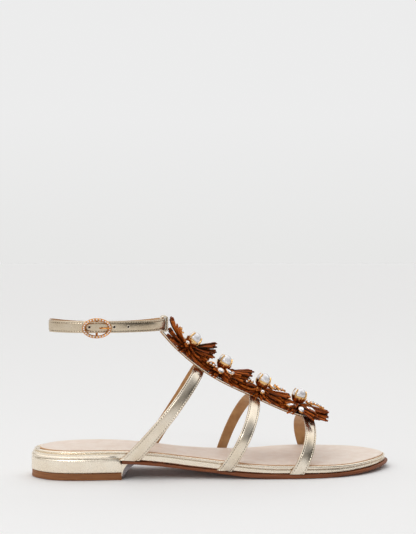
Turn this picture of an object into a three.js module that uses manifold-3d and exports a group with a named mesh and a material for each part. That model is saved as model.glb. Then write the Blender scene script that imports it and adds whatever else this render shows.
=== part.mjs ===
// A flat gladiator sandal for the right foot, modelled in millimetres.
// X runs from heel to toe, Y from the outer (lateral) side to the inner (medial) side, Z up.
// The origin lies on the floor under the middle of the heel.
import * as THREE from 'three';
import { mergeVertices } from 'three/addons/utils/BufferGeometryUtils.js';
import Module from 'manifold-3d';

const wasm = await Module();
wasm.setup();

// Sole and heel
const soleLength = 250;
const ballWidth = 80.6;
const heelSetback = 33;          // from the back of the sole to the origin
const heelRise = 10.7;           // floor to the underside of the sole at the heel
const heelLength = 60;           // back of the sole to the front face of the heel
const topliftHeight = 4.5;
const stackHeight = 8.3;         // outsole, midsole and insole edge together
const ledge = 2;                 // how far the outsole stands out past the midsole
const seam = 0.3;                // clearance between pieces that touch
const breastRadius = 7.4;        // hollow sweep of the outsole down the front of the heel
const breastInset = 2;
const breastWall = 1.5;
const sockInset = 3.6;
const sockThickness = 0.8;
const sockRecess = 0.6;

// Upper
const strapWall = 1.5;
const strapWidth = 8;
const barWidth = 11;
const barWall = 1.8;
const loopWall = 1.1;
const loopPlay = 0.6;            // free room around the ankle strap inside its loop

// Ankle strap and buckle
const ankleHeight = 102.4;       // floor to the middle of the ankle strap
const ankleLength = 76.4;        // back to front of the closed ankle loop
const ankleHalfWidth = 28.8;
const ankleAhead = 2.1;          // inner face of its front, ahead of the bar's upper end
const ankleDip = 3.8;            // how much lower the strap sits on the inner side
const ankleStrapWidth = 7.6;
const ankleStrapWall = 1.6;
const tailLift = 2.7;            // how far the tail stands off the strap under it, at the buckle
const tailLength = 27.6;         // tail past the middle of the buckle
const liftStart = 32;            // in front of the buckle the strap starts to rise here
const liftEnd = 7;               // and has risen here
const buckleBehind = 46.1;       // front of the loop back to the middle of the buckle
const buckleDrop = 0.6;          // middle of the buckle below the middle of the strap
const buckleLength = 19.4;
const buckleHeight = 13.2;
const rimWidth = 2.4;
const rimDepth = 2;
const barRadius = 0.8;
const prongRadius = 0.6;
const prongPlay = 0.9;           // free room round the prong in its hole
const prongHoleOffset = 2;       // from the buckle's bar to the hole in use

// Flowers on the bar
const flowerReach = 22;          // longest reach of a petal along the bar
const flowerSpan = 18;           // longest reach across the foot
const tipRise = 10;              // how far the most raised tips stand off their layer
const pearlDiameter = 10;
const pearlHeight = 13.9;        // underside of the bar to the middle of a pearl
const petals = 8;                // petals round one layer
const petalThickness = 0.9;
const petalSeat = 0.6;           // outer face of the bar to the lowest petals
const petalPitch = 1.4;          // from one petal layer to the next
const strands = 3;               // strands side by side in one petal
const strandWidth = 2.1;
const strandGap = 0.6;
const slitShare = 0.25;          // share of a petal's reach where its strands part
const cupWall = 0.9;
const clawWidth = 1.3;
const stoneLength = 4.2;
const stoneWidth = 3;
const stoneHeight = 2;
const stoneRing = 6;             // middle of the flower to the middle of a stone
const stoneBase = 1.1;           // thickness of the plate that carries the stones

// Half widths of the sole at stations along it, as shares of its length and of the ball width
const outlineRows = [
  { along: 0, lateral: 0.03, medial: 0.03 },
  { along: 0.006, lateral: 0.081, medial: 0.081 },
  { along: 0.02, lateral: 0.143, medial: 0.143 },
  { along: 0.048, lateral: 0.216, medial: 0.216 },
  { along: 0.08, lateral: 0.259, medial: 0.262 },
  { along: 0.12, lateral: 0.284, medial: 0.287 },
  { along: 0.18, lateral: 0.297, medial: 0.287 },
  { along: 0.26, lateral: 0.305, medial: 0.253 },
  { along: 0.34, lateral: 0.314, medial: 0.213 },
  { along: 0.42, lateral: 0.336, medial: 0.194 },
  { along: 0.5, lateral: 0.375, medial: 0.235 },
  { along: 0.58, lateral: 0.419, medial: 0.34 },
  { along: 0.66, lateral: 0.451, medial: 0.44 },
  { along: 0.74, lateral: 0.467, medial: 0.51 },
  { along: 0.8, lateral: 0.459, medial: 0.525 },
  { along: 0.848, lateral: 0.43, medial: 0.496 },
  { along: 0.896, lateral: 0.373, medial: 0.437 },
  { along: 0.936, lateral: 0.295, medial: 0.355 },
  { along: 0.968, lateral: 0.205, medial: 0.25 },
  { along: 0.988, lateral: 0.126, medial: 0.152 },
  { along: 0.997, lateral: 0.066, medial: 0.078 },
  { along: 1, lateral: 0.026, medial: 0.03 },
];

// Side view of the sole: height of its underside as a share of the heel rise, the whole stack
// as a share of its height, and the shares of the stack that the outsole and the edge take
const profileRows = [
  { along: 0, under: 1, stack: 1, outsole: 0.36, edge: 0.18 },
  { along: 0.18, under: 1, stack: 1, outsole: 0.36, edge: 0.18 },
  { along: 0.226, under: 0.98, stack: 1, outsole: 0.36, edge: 0.17 },
  { along: 0.236, under: 0.975, stack: 1, outsole: 0.27, edge: 0.17 },
  { along: 0.34, under: 0.775, stack: 1, outsole: 0.23, edge: 0.19 },
  { along: 0.42, under: 0.54, stack: 1, outsole: 0.2, edge: 0.21 },
  { along: 0.5, under: 0.315, stack: 1, outsole: 0.23, edge: 0.24 },
  { along: 0.58, under: 0.09, stack: 1.01, outsole: 0.3, edge: 0.28 },
  { along: 0.66, under: 0, stack: 1.01, outsole: 0.33, edge: 0.31 },
  { along: 0.77, under: 0, stack: 0.94, outsole: 0.32, edge: 0.3 },
  { along: 0.848, under: 0.05, stack: 0.85, outsole: 0.31, edge: 0.28 },
  { along: 0.936, under: 0.17, stack: 0.79, outsole: 0.32, edge: 0.28 },
  { along: 1, under: 0.3, stack: 0.68, outsole: 0.34, edge: 0.28 },
];

// Ridge of the instep, under the bar: along as a share of the sole, height of the instep height
const ridgeRows = [
  { along: 0.35, height: 1 },
  { along: 0.39, height: 0.884 },
  { along: 0.444, height: 0.761 },
  { along: 0.49, height: 0.678 },
  { along: 0.538, height: 0.609 },
  { along: 0.6, height: 0.533 },
  { along: 0.666, height: 0.452 },
  { along: 0.704, height: 0.41 },
  { along: 0.776, height: 0.353 },
];

// Cross straps: where each leaves the sole on either side and where it meets the bar
const strapRows = [
  { name: 'rear', lateral: 0.262, top: 0.458, medial: 0.315, lean: 0.15, fullness: 0.03, flare: 1.2 },
  { name: 'middle', lateral: 0.514, top: 0.612, medial: 0.528, lean: 0.1, fullness: 0.09, flare: 1 },
  { name: 'front', lateral: 0.706, top: 0.764, medial: 0.806, lean: 0.35, fullness: 0.02, flare: 1.1 },
];

// Flowers: place on the sole's length, then as shares of the reach and of the tips' rise: reach
// of the petals along the bar, rise behind, and the further reach and rise of the top bundle
const flowerRows = [
  { along: 0.41, behind: 1, front: 0.68, behindRise: 0.5, bundle: 0.2, bundleRise: 1.05, stagger: 0.2 },
  { along: 0.506, behind: 0.6, front: 0.72, behindRise: 0, bundle: 0.28, bundleRise: 0.95, stagger: 1 },
  { along: 0.619, behind: 0.65, front: 0.67, behindRise: 0, bundle: 0.34, bundleRise: 0.48, stagger: 1 },
  { along: 0.73, behind: 0.6, front: 1.12, behindRise: 0, bundle: 0, bundleRise: 0.1, stagger: 1 },
];

// Petal layers from the bar outwards: shares of the reach across and along, how far the tips
// beside the bar and along it lift off, share of the rise behind, and turn against the lowest
const petalRows = [
  { name: 'lower', across: 1, share: 1, sideLift: -0.3, endLift: 0.03, spread: 0.3, turn: 0 },
  { name: 'middle', across: 0.92, share: 0.97, sideLift: -0.15, endLift: 0.08, spread: 0.8, turn: 0.39 },
  { name: 'upper', across: 0.83, share: 0.95, sideLift: 0.1, endLift: 0.2, spread: 1.4, turn: 0 },
];

// Underside of the bar at its upper end, where it runs into the loop of the ankle strap
const barLap = 0.2;
const instepHeight = ankleHeight - ankleStrapWidth / 2 - loopPlay - loopWall - barLap;
const buckleZ = ankleHeight - buckleDrop;

const finishes = {
  gold: { color: 0xc9b48c, roughness: 0.32, metalness: 0.85 },
  sock: { color: 0xe3cfba, roughness: 0.7, metalness: 0 },
  brown: { color: 0x6b4630, roughness: 0.6, metalness: 0 },
  raffia: { color: 0x8b3f12, roughness: 0.55, metalness: 0 },
  pearl: { color: 0xe9e6e6, roughness: 0.18, metalness: 0.1 },
  setting: { color: 0xc99a4e, roughness: 0.25, metalness: 1 },
  crystal: { color: 0xe6e6ee, roughness: 0.08, metalness: 0.2 },
};

// Reading a table

function readRow(rows, along, column) {
  const last = rows.length - 1;
  if (along <= rows[0].along) return rows[0][column];
  if (along >= rows[last].along) return rows[last][column];
  const next = rows.findIndex((row) => row.along > along);
  const before = rows[next - 1];
  const after = rows[next];
  const share = (along - before.along) / (after.along - before.along);
  return before[column] + (after[column] - before[column]) * share;
}

const xAxis = new THREE.Vector3(1, 0, 0);
const toX = (along) => along * soleLength - heelSetback;
const toAlong = (x) => (x + heelSetback) / soleLength;
const ankleFront = toX(ridgeRows[0].along) + ankleAhead;
const buckleX = ankleFront - buckleBehind;
const halfWidth = (along, side) => readRow(outlineRows, along, side) * ballWidth;
const underside = (along) => readRow(profileRows, along, 'under') * heelRise;
const stackAt = (along) => readRow(profileRows, along, 'stack') * stackHeight;
const outsoleTop = (along) => underside(along) + stackAt(along) * readRow(profileRows, along, 'outsole');
const edgeTop = (along) => underside(along) + stackAt(along);
const edgeBottom = (along) => edgeTop(along) - stackAt(along) * readRow(profileRows, along, 'edge');

// Height of the ridge, carried on in a straight line past both ends of its table
function ridgeHeight(along) {
  const last = ridgeRows.length - 1;
  const rise = (a, b) => ridgeRows[b].height - ridgeRows[a].height;
  const slope = (a, b) => rise(a, b) / (ridgeRows[b].along - ridgeRows[a].along);
  const over = Math.min(0, along - ridgeRows[0].along) * slope(0, 1)
    + Math.max(0, along - ridgeRows[last].along) * slope(last - 1, last);
  return (readRow(ridgeRows, along, 'height') + over) * instepHeight;
}

// Building closed bodies

function signedVolume(points, faces) {
  let volume = 0;
  for (const [a, b, c] of faces) {
    volume += points[a].dot(points[b].clone().cross(points[c])) / 6;
  }
  return volume;
}

function bodyFromFaces(points, faces) {
  const outward = signedVolume(points, faces) > 0;
  const index = faces.flatMap(([a, b, c]) => (outward ? [a, b, c] : [a, c, b]));
  const geometry = new THREE.BufferGeometry();
  const coordinates = points.flatMap((p) => p.toArray());
  geometry.setAttribute('position', new THREE.Float32BufferAttribute(coordinates, 3));
  geometry.setIndex(index);
  return geometry;
}

function toSolid(geometry) {
  const bare = geometry.clone();
  bare.deleteAttribute('normal');
  bare.deleteAttribute('uv');
  const merged = mergeVertices(bare, 1e-4);
  const vertProperties = new Float32Array(merged.attributes.position.array);
  const triVerts = new Uint32Array(merged.index.array);
  return new wasm.Manifold(new wasm.Mesh({ numProp: 3, vertProperties, triVerts }));
}

function toGeometry(solid) {
  const mesh = solid.getMesh();
  const geometry = new THREE.BufferGeometry();
  geometry.setAttribute('position', new THREE.BufferAttribute(new Float32Array(mesh.vertProperties), 3));
  geometry.setIndex(new THREE.BufferAttribute(new Uint32Array(mesh.triVerts), 1));
  return geometry;
}

function joined(geometries) {
  return geometries.map(toSolid).reduce((sum, solid) => sum.add(solid));
}

// The faces between rings of equal length that follow one another
function ringFaces(ringCount, size) {
  const faces = [];
  for (let ring = 0; ring < ringCount - 1; ring += 1) {
    for (let i = 0; i < size; i += 1) {
      const a = ring * size + i;
      const b = ring * size + ((i + 1) % size);
      faces.push([a, b, b + size], [a, b + size, a + size]);
    }
  }
  return faces;
}

// A body through rings of points, closed by a fan at each end
function bodyFromRings(rings) {
  const size = rings[0].length;
  const points = rings.flat();
  const faces = ringFaces(rings.length, size);
  const end = (rings.length - 1) * size;
  for (let i = 1; i < size - 1; i += 1) {
    faces.push([0, i + 1, i], [end, end + i, end + i + 1]);
  }
  return bodyFromFaces(points, faces);
}

// A flat band swept along a path that lies on its inner face
function bandAlong(path, normals, widths, wall) {
  const rings = path.map((point, i) => {
    const before = path[Math.max(i - 1, 0)];
    const after = path[Math.min(i + 1, path.length - 1)];
    const tangent = after.clone().sub(before).normalize();
    const normal = normals[i].clone().addScaledVector(tangent, -normals[i].dot(tangent)).normalize();
    const across = tangent.clone().cross(normal);
    const half = widths[i] / 2;
    const bevel = wall * 0.4;
    const section = [[-half, 0], [half, 0], [half, wall - bevel], [half - bevel, wall],
      [-half + bevel, wall], [-half, wall - bevel]];
    return section.map(([u, v]) => point.clone().addScaledVector(across, u).addScaledVector(normal, v));
  });
  return bodyFromRings(rings);
}

// Sole layers

function stationsBetween(from, to) {
  const places = new Set([...outlineRows, ...profileRows].map((row) => row.along));
  const inner = [...places].filter((along) => along > from && along < to);
  return [from, ...inner, to].sort((a, b) => a - b);
}

// One side of the sole's outline, drawn in by an inset along its own normal
function sideLine(stations, side, insets) {
  const sign = side === 'lateral' ? -1 : 1;
  const line = stations.map((along) => new THREE.Vector2(toX(along), sign * halfWidth(along, side)));
  const last = line.length - 1;
  return line.map((point, i) => {
    const isCutEnd = (i === 0 && stations[0] > 0) || (i === last && stations[last] < 1);
    const before = i === 0 ? new THREE.Vector2(point.x, -point.y) : line[i - 1];
    const after = i === last ? new THREE.Vector2(point.x, -point.y) : line[i + 1];
    const tangent = after.clone().sub(before).normalize();
    const inward = new THREE.Vector2(sign * tangent.y, -sign * tangent.x);
    if (isCutEnd) return new THREE.Vector2(point.x, point.y - sign * insets[i]);
    return point.clone().addScaledVector(inward, insets[i]);
  });
}

// A layer of the sole between two stations, from rings of an inset and a height each
function soleLayer(rings, from = 0, to = 1) {
  const stations = stationsBetween(from, to);
  const count = stations.length;
  const points = [];
  for (const { inset, height } of rings) {
    const insets = stations.map((along) => (typeof inset === 'number' ? inset : inset(along)));
    const lateral = sideLine(stations, 'lateral', insets);
    const medial = sideLine(stations, 'medial', insets);
    const heights = stations.map(height);
    lateral.forEach((p, i) => points.push(new THREE.Vector3(p.x, p.y, heights[i])));
    medial.reverse().forEach((p, i) => points.push(new THREE.Vector3(p.x, p.y, heights[count - 1 - i])));
  }
  const size = count * 2;
  const faces = ringFaces(rings.length, size);
  const top = (rings.length - 1) * size;
  for (let i = 0; i < count - 1; i += 1) {
    const [a, b, c, d] = [i, i + 1, size - 2 - i, size - 1 - i];
    faces.push([a, c, b], [a, d, c]);
    faces.push([top + a, top + b, top + c], [top + a, top + c, top + d]);
  }
  return bodyFromFaces(points, faces);
}

const heelFront = heelLength / soleLength;

function topliftGeometry() {
  return soleLayer([
    { inset: 0.4, height: () => 0 },
    { inset: 0.2, height: () => topliftHeight * 0.2 },
    { inset: 0.5, height: () => topliftHeight },
  ], 0, heelFront);
}

function heelBlockGeometry() {
  const top = (along) => outsoleTop(along) - seam;
  return soleLayer([
    { inset: 0.7, height: () => topliftHeight + seam },
    { inset: 0.4, height: () => topliftHeight + 1 },
    { inset: 0.4, height: (along) => top(along) - 1 },
    { inset: 0.8, height: top },
  ], 0, heelFront);
}

// The outsole with the sweep that covers the front of the heel
function outsoleGeometry() {
  const start = (heelLength + seam) / soleLength;
  const plate = soleLayer([
    { inset: 0.5, height: underside },
    { inset: 0, height: (along) => underside(along) + 0.6 },
    { inset: 0, height: (along) => outsoleTop(along) - 0.6 },
    { inset: 0.4, height: outsoleTop },
  ], start, 1);
  const back = toX(start);
  const ceiling = underside(start) + stackAt(start) * 0.2;
  const foot = 1.2;
  const radius = Math.min(breastRadius, underside(start) - foot - 0.6);
  const sweep = new THREE.Shape();
  sweep.moveTo(back, foot);
  sweep.lineTo(back + breastWall, foot);
  sweep.lineTo(back + breastWall, underside(start) - radius);
  const centre = back + breastWall + radius;
  sweep.absarc(centre, underside(start) - radius, radius, Math.PI, Math.PI * 0.56, true);
  sweep.lineTo(centre, ceiling);
  sweep.lineTo(back, ceiling);
  const lateral = halfWidth(start, 'lateral') - breastInset;
  const medial = halfWidth(start, 'medial') - breastInset;
  const options = { depth: lateral + medial, bevelEnabled: false, curveSegments: 8 };
  const cover = new THREE.ExtrudeGeometry(sweep, options);
  cover.rotateX(Math.PI / 2);
  cover.translate(0, medial, 0);
  return toGeometry(joined([plate, cover]));
}

function midsoleGeometry() {
  const low = (along) => outsoleTop(along) + seam;
  const high = (along) => edgeBottom(along) - seam;
  const middle = (along) => low(along) + (high(along) - low(along)) * 0.5;
  const beadInset = 0.3;
  const drawIn = (along) => Math.min(1, Math.max(0, (along - heelFront + 0.035) / 0.03));
  const lower = (along) => beadInset + (ledge - beadInset) * drawIn(along);
  const groove = (along) => lower(along) + 0.5 * (1 - drawIn(along));
  const upper = (along) => Math.max(lower(along), ledge * 0.5);
  return soleLayer([
    { inset: (along) => lower(along) + 0.2, height: low },
    { inset: lower, height: (along) => middle(along) - 0.4 },
    { inset: groove, height: middle },
    { inset: upper, height: (along) => middle(along) + 0.4 },
    { inset: upper, height: high },
  ]);
}

// The insole board with its wrapped edge; the middle is recessed for the sock
function insoleBoardGeometry() {
  return soleLayer([
    { inset: ledge + 0.6, height: edgeBottom },
    { inset: ledge, height: (along) => (edgeBottom(along) + edgeTop(along)) / 2 },
    { inset: ledge + 0.5, height: (along) => edgeTop(along) - 0.15 },
    { inset: ledge + 0.9, height: edgeTop },
    { inset: sockInset - seam, height: (along) => edgeTop(along) - 0.1 },
    { inset: sockInset - seam + 0.1, height: (along) => edgeTop(along) - sockRecess },
  ]);
}

function insoleSockGeometry() {
  const bottom = (along) => edgeTop(along) - sockRecess + seam;
  return soleLayer([
    { inset: sockInset + 0.2, height: bottom },
    { inset: sockInset, height: (along) => bottom(along) + sockThickness * 0.6 },
    { inset: sockInset + 0.4, height: (along) => bottom(along) + sockThickness },
  ]);
}

// The last: half width at a share of the height from the sole's edge up to the ridge

function lastPoint(along, share, side, fullness) {
  const sign = side === 'lateral' ? -1 : 1;
  const base = outsoleTop(along);
  const reach = halfWidth(along, side) - ledge + seam;
  const level = Math.max(0, Math.min(1, share));
  const girth = reach * Math.sqrt(1 - level * level) + fullness * ballWidth * 4 * level * (1 - level);
  return new THREE.Vector3(toX(along), sign * girth, base + (ridgeHeight(along) - base) * share);
}

function ridgeNormal(along) {
  const step = 0.01;
  const rise = ridgeHeight(along + step) - ridgeHeight(along - step);
  return new THREE.Vector3(-rise, 0, 2 * step * soleLength).normalize();
}

function outlineNormal(along, side) {
  const step = 0.01;
  const sign = side === 'lateral' ? -1 : 1;
  const widening = halfWidth(along + step, side) - halfWidth(along - step, side);
  return new THREE.Vector3(-widening, sign * 2 * step * soleLength, 0).normalize();
}

// One leg of a cross strap, from the edge of the sole up to the bar
function strapLeg(row, side) {
  const start = row[side];
  const foot = lastPoint(start, 0, side, 0).z;
  const crown = ridgeHeight(row.top);
  const path = [];
  const normals = [];
  const widths = [];
  const steps = 9;
  for (let i = -1; i <= steps; i += 1) {
    const angle = (Math.PI / 2) * (i / steps);
    const share = Math.sin(angle);
    const drift = share + row.lean * share * (1 - share);
    const along = start + (row.top - start) * drift;
    const onLast = lastPoint(along, share, side, row.fullness);
    path.push(new THREE.Vector3(onLast.x, onLast.y, foot + (crown - foot) * share));
    const outward = outlineNormal(along, side).multiplyScalar(Math.cos(angle) + 0.02);
    normals.push(outward.addScaledVector(ridgeNormal(row.top), Math.max(0, share) ** 1.5));
    const flare = row.flare + (1 - row.flare) * Math.min(1, Math.max(0, share) * 1.5);
    widths.push(strapWidth * flare);
  }
  return bandAlong(path, normals, widths, strapWall);
}

// The bar down the instep
function barGeometry() {
  const first = ridgeRows[0].along;
  const last = ridgeRows[ridgeRows.length - 1].along;
  const steps = 16;
  const stations = Array.from({ length: steps + 1 }, (_, i) => first + (last - first) * (i / steps));
  const path = stations.map((along) => new THREE.Vector3(toX(along), 0, ridgeHeight(along)));
  const normals = stations.map(ridgeNormal);
  return bandAlong(path, normals, stations.map(() => barWidth), barWall);
}

function bevelledRectangle(halfX, halfY) {
  const corner = Math.min(halfX, halfY) * 0.6;
  const shape = new THREE.Shape();
  shape.moveTo(-halfX + corner, -halfY);
  shape.lineTo(halfX - corner, -halfY);
  shape.lineTo(halfX, -halfY + corner);
  shape.lineTo(halfX, halfY - corner);
  shape.lineTo(halfX - corner, halfY);
  shape.lineTo(-halfX + corner, halfY);
  shape.lineTo(-halfX, halfY - corner);
  shape.lineTo(-halfX, -halfY + corner);
  shape.closePath();
  return shape;
}

// The bar's end, folded into a loop that the ankle strap runs through
function loopGeometry() {
  const halfX = ankleStrapWall / 2 + loopPlay;
  const halfZ = ankleStrapWidth / 2 + loopPlay;
  const ring = bevelledRectangle(halfX + loopWall, halfZ + loopWall);
  const opening = new THREE.Shape();
  opening.moveTo(-halfX, -halfZ);
  opening.lineTo(halfX, -halfZ);
  opening.lineTo(halfX, halfZ);
  opening.lineTo(-halfX, halfZ);
  opening.closePath();
  ring.holes.push(opening);
  const band = new THREE.ExtrudeGeometry(ring, { depth: barWidth, bevelEnabled: false });
  band.rotateX(Math.PI / 2);
  band.translate(ankleFront + ankleStrapWall / 2, barWidth / 2, ankleHeight);
  return band;
}

// Straps, bar and loop as one piece of leather, ending on the ledge of the outsole
function upperGeometry() {
  const legs = strapRows.flatMap((row) => [strapLeg(row, 'lateral'), strapLeg(row, 'medial')]);
  const leather = joined([barGeometry(), loopGeometry(), ...legs]);
  const margin = strapWall * 4;
  const under = soleLayer([
    { inset: -margin, height: () => -margin },
    { inset: -margin, height: (along) => outsoleTop(along) + seam },
  ], 0.1, 1);
  return toGeometry(leather.subtract(toSolid(under)));
}

// Ankle strap

// A place on the closed loop seen from above: turn 0 is the front, a quarter is the inner side
function anklePoint(turn, lift) {
  const angle = turn * Math.PI * 2;
  const squareness = 2.5;
  const length = ankleLength / 2;
  const cos = Math.cos(angle);
  const sin = Math.sin(angle);
  const x = Math.sign(cos) * Math.abs(cos) ** (2 / squareness) * (length + lift);
  const y = Math.sign(sin) * Math.abs(sin) ** (2 / squareness) * (ankleHalfWidth + lift);
  const dip = ankleDip * Math.max(0, y / ankleHalfWidth) ** 2;
  return new THREE.Vector3(ankleFront - length + x, y, ankleHeight - dip);
}

// Turn at which the outer (lateral) side of the loop reaches a given X
function turnAtX(x) {
  let low = 0.5;
  let high = 1;
  for (let i = 0; i < 30; i += 1) {
    const middle = (low + high) / 2;
    if (anklePoint(middle, 0).x < x) low = middle;
    else high = middle;
  }
  return (low + high) / 2;
}

// The strap starts at the buckle's bar, runs back round the ankle, forward through the loop,
// over the bar and ends in a tail that lies on its own start
function ankleStrapGeometry() {
  const barTurn = turnAtX(buckleX - barRadius - seam);
  const tailTurn = turnAtX(buckleX - tailLength);
  const risesAt = turnAtX(buckleX + liftStart);
  const risenAt = turnAtX(buckleX + liftEnd);
  const travel = barTurn + (1 - tailTurn);
  const steps = 46;
  const path = [];
  const normals = [];
  for (let i = 0; i <= steps; i += 1) {
    const gone = (travel * i) / steps;
    const turn = barTurn - gone;
    const onSecondLap = turn < 0;
    const place = onSecondLap ? turn + 1 : turn;
    const risen = Math.min(1, Math.max(0, (risesAt - place) / (risesAt - risenAt)));
    const raised = onSecondLap ? risen : 0;
    const point = anklePoint(place, tailLift * raised);
    const ahead = anklePoint(place + 0.002, tailLift * raised);
    const tangent = ahead.sub(point).setZ(0).normalize();
    path.push(point);
    normals.push(new THREE.Vector3(tangent.y, -tangent.x, 0));
  }
  const band = toSolid(bandAlong(path, normals, path.map(() => ankleStrapWidth), ankleStrapWall));
  const holeRadius = prongRadius + prongPlay;
  const hole = new THREE.CylinderGeometry(holeRadius, holeRadius, tailLift + 2 * ankleStrapWall, 12);
  const holePlace = anklePoint(turnAtX(buckleX + prongHoleOffset), tailLift);
  hole.translate(holePlace.x, holePlace.y - ankleStrapWall / 2, buckleZ);
  return toGeometry(band.subtract(toSolid(hole)));
}

// Buckle

const rodSides = 6;

function rodAlong(points, radius, steps) {
  const curve = new THREE.CatmullRomCurve3(points);
  const section = new THREE.Shape();
  section.absarc(0, 0, radius, 0, Math.PI * 2);
  const flat = new THREE.Shape(section.getPoints(rodSides / 2).slice(0, -1));
  return new THREE.ExtrudeGeometry(flat, { steps, bevelEnabled: false, extrudePath: curve });
}

const buckleFaceY = () => -(ankleHalfWidth + tailLift + ankleStrapWall + seam);

function buckleFrameGeometry() {
  const halfLength = buckleLength / 2;
  const halfHeight = buckleHeight / 2;
  const sides = 20;
  const rings = [];
  for (let i = 0; i <= sides; i += 1) {
    const angle = (Math.PI * 2 * i) / sides;
    const ring = [];
    for (let k = 0; k < 6; k += 1) {
      const turn = (Math.PI * 2 * k) / 6;
      const out = 1 + Math.cos(turn);
      const x = Math.cos(angle) * (halfLength - rimWidth + (rimWidth / 2) * out);
      const z = Math.sin(angle) * (halfHeight - rimWidth * 0.8 + rimWidth * 0.4 * out);
      ring.push(new THREE.Vector3(x, (rimDepth / 2) * Math.sin(turn), z));
    }
    rings.push(ring);
  }
  const size = 6;
  const points = rings.slice(0, sides).flat();
  const faces = [];
  for (let i = 0; i < sides; i += 1) {
    for (let k = 0; k < size; k += 1) {
      const a = i * size + k;
      const b = i * size + ((k + 1) % size);
      const c = ((i + 1) % sides) * size + ((k + 1) % size);
      const d = ((i + 1) % sides) * size + k;
      faces.push([a, b, c], [a, c, d]);
    }
  }
  const rim = bodyFromFaces(points, faces);
  const rimY = buckleFaceY() - rimDepth / 2;
  rim.translate(buckleX, rimY, buckleZ);
  const barY = -(ankleHalfWidth + ankleStrapWall / 2);
  const stub = halfHeight - rimWidth * 0.4;
  const bend = 2 * barRadius;
  const bar = rodAlong([
    new THREE.Vector3(buckleX, rimY, buckleZ + stub),
    new THREE.Vector3(buckleX, barY - bend, buckleZ + stub - bend / 8),
    new THREE.Vector3(buckleX, barY, buckleZ + stub - bend),
    new THREE.Vector3(buckleX, barY, buckleZ),
    new THREE.Vector3(buckleX, barY, buckleZ - stub + bend),
    new THREE.Vector3(buckleX, barY - bend, buckleZ - stub + bend / 8),
    new THREE.Vector3(buckleX, rimY, buckleZ - stub),
  ], barRadius, 12);
  return toGeometry(joined([rim, bar]));
}

function buckleProngGeometry() {
  const barY = -(ankleHalfWidth + ankleStrapWall / 2);
  const tailInside = -(ankleHalfWidth + tailLift);
  const tailOutside = tailInside - ankleStrapWall;
  const overRim = buckleFaceY() - rimDepth - seam - prongRadius;
  const reach = (buckleLength - rimWidth) / 2;
  const overhang = 1.3 * prongRadius;
  return rodAlong([
    new THREE.Vector3(buckleX + barRadius + seam + prongRadius, barY, buckleZ),
    new THREE.Vector3(buckleX + prongHoleOffset, tailInside + prongRadius, buckleZ),
    new THREE.Vector3(buckleX + prongHoleOffset, tailOutside, buckleZ),
    new THREE.Vector3(buckleX + prongHoleOffset + rimWidth / 2, (tailOutside + overRim) / 2, buckleZ),
    new THREE.Vector3(buckleX + reach - rimWidth, overRim, buckleZ),
    new THREE.Vector3(buckleX + reach + overhang, overRim, buckleZ),
  ], prongRadius, 10);
}

// Flowers

// A place over the bar: forward along it, sideways, and a height off its underside
function flowerPlace(flower, forward, sideways, height) {
  const normal = ridgeNormal(flower.along);
  const tangent = new THREE.Vector3(normal.z, 0, -normal.x);
  return new THREE.Vector3(toX(flower.along), 0, ridgeHeight(flower.along))
    .addScaledVector(tangent, forward)
    .addScaledVector(new THREE.Vector3(0, 1, 0), sideways)
    .addScaledVector(normal, height);
}

// The same for a supple layer that follows the bend of the bar
function flowerPlaceBent(flower, forward, sideways, height) {
  const slope = ridgeNormal(flower.along).z;
  const along = flower.along + (forward * slope) / soleLength;
  return new THREE.Vector3(toX(along), sideways, ridgeHeight(along))
    .addScaledVector(ridgeNormal(along), height);
}

const petalWidth = strands * strandWidth + (strands - 1) * strandGap;

function petalReach(flower, layer, angle) {
  const forward = Math.cos(angle);
  const bundle = layer.name === 'upper' ? flower.bundle : 0;
  const reach = forward > 0 ? flower.front : flower.behind;
  const alongReach = flowerReach * (reach * layer.share + bundle * Math.max(0, forward));
  return 1 / Math.hypot(forward / alongReach, Math.sin(angle) / (layer.across * flowerSpan));
}

// The most that a petal can reach back before its tip meets the loop of the ankle strap
function roomBehind(flower, angle, height) {
  const loopFace = ankleFront + ankleStrapWall + loopPlay + loopWall;
  const normal = ridgeNormal(flower.along);
  const room = toX(flower.along) + normal.x * height - loopFace - 2 * seam;
  return room / (normal.z * Math.max(0.01, -Math.cos(angle)));
}

// How far a tip of a layer lifts in a direction seen from the middle of the flower
function tipLift(flower, layer, angle) {
  const forward = Math.cos(angle);
  const bundleRise = layer.name === 'upper' ? flower.bundleRise * Math.max(0, forward) ** 3 : 0;
  const level = layer.sideLift + (layer.endLift - layer.sideLift) * Math.abs(forward);
  const behindRise = flower.behindRise * layer.spread * Math.max(0, -forward) ** 2;
  return tipRise * (level + bundleRise + behindRise);
}

// Distance from the middle of a flower to where a petal leaves the layer's hub
const hubReach = (petalWidth / 2) / Math.tan(Math.PI / petals);

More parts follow.
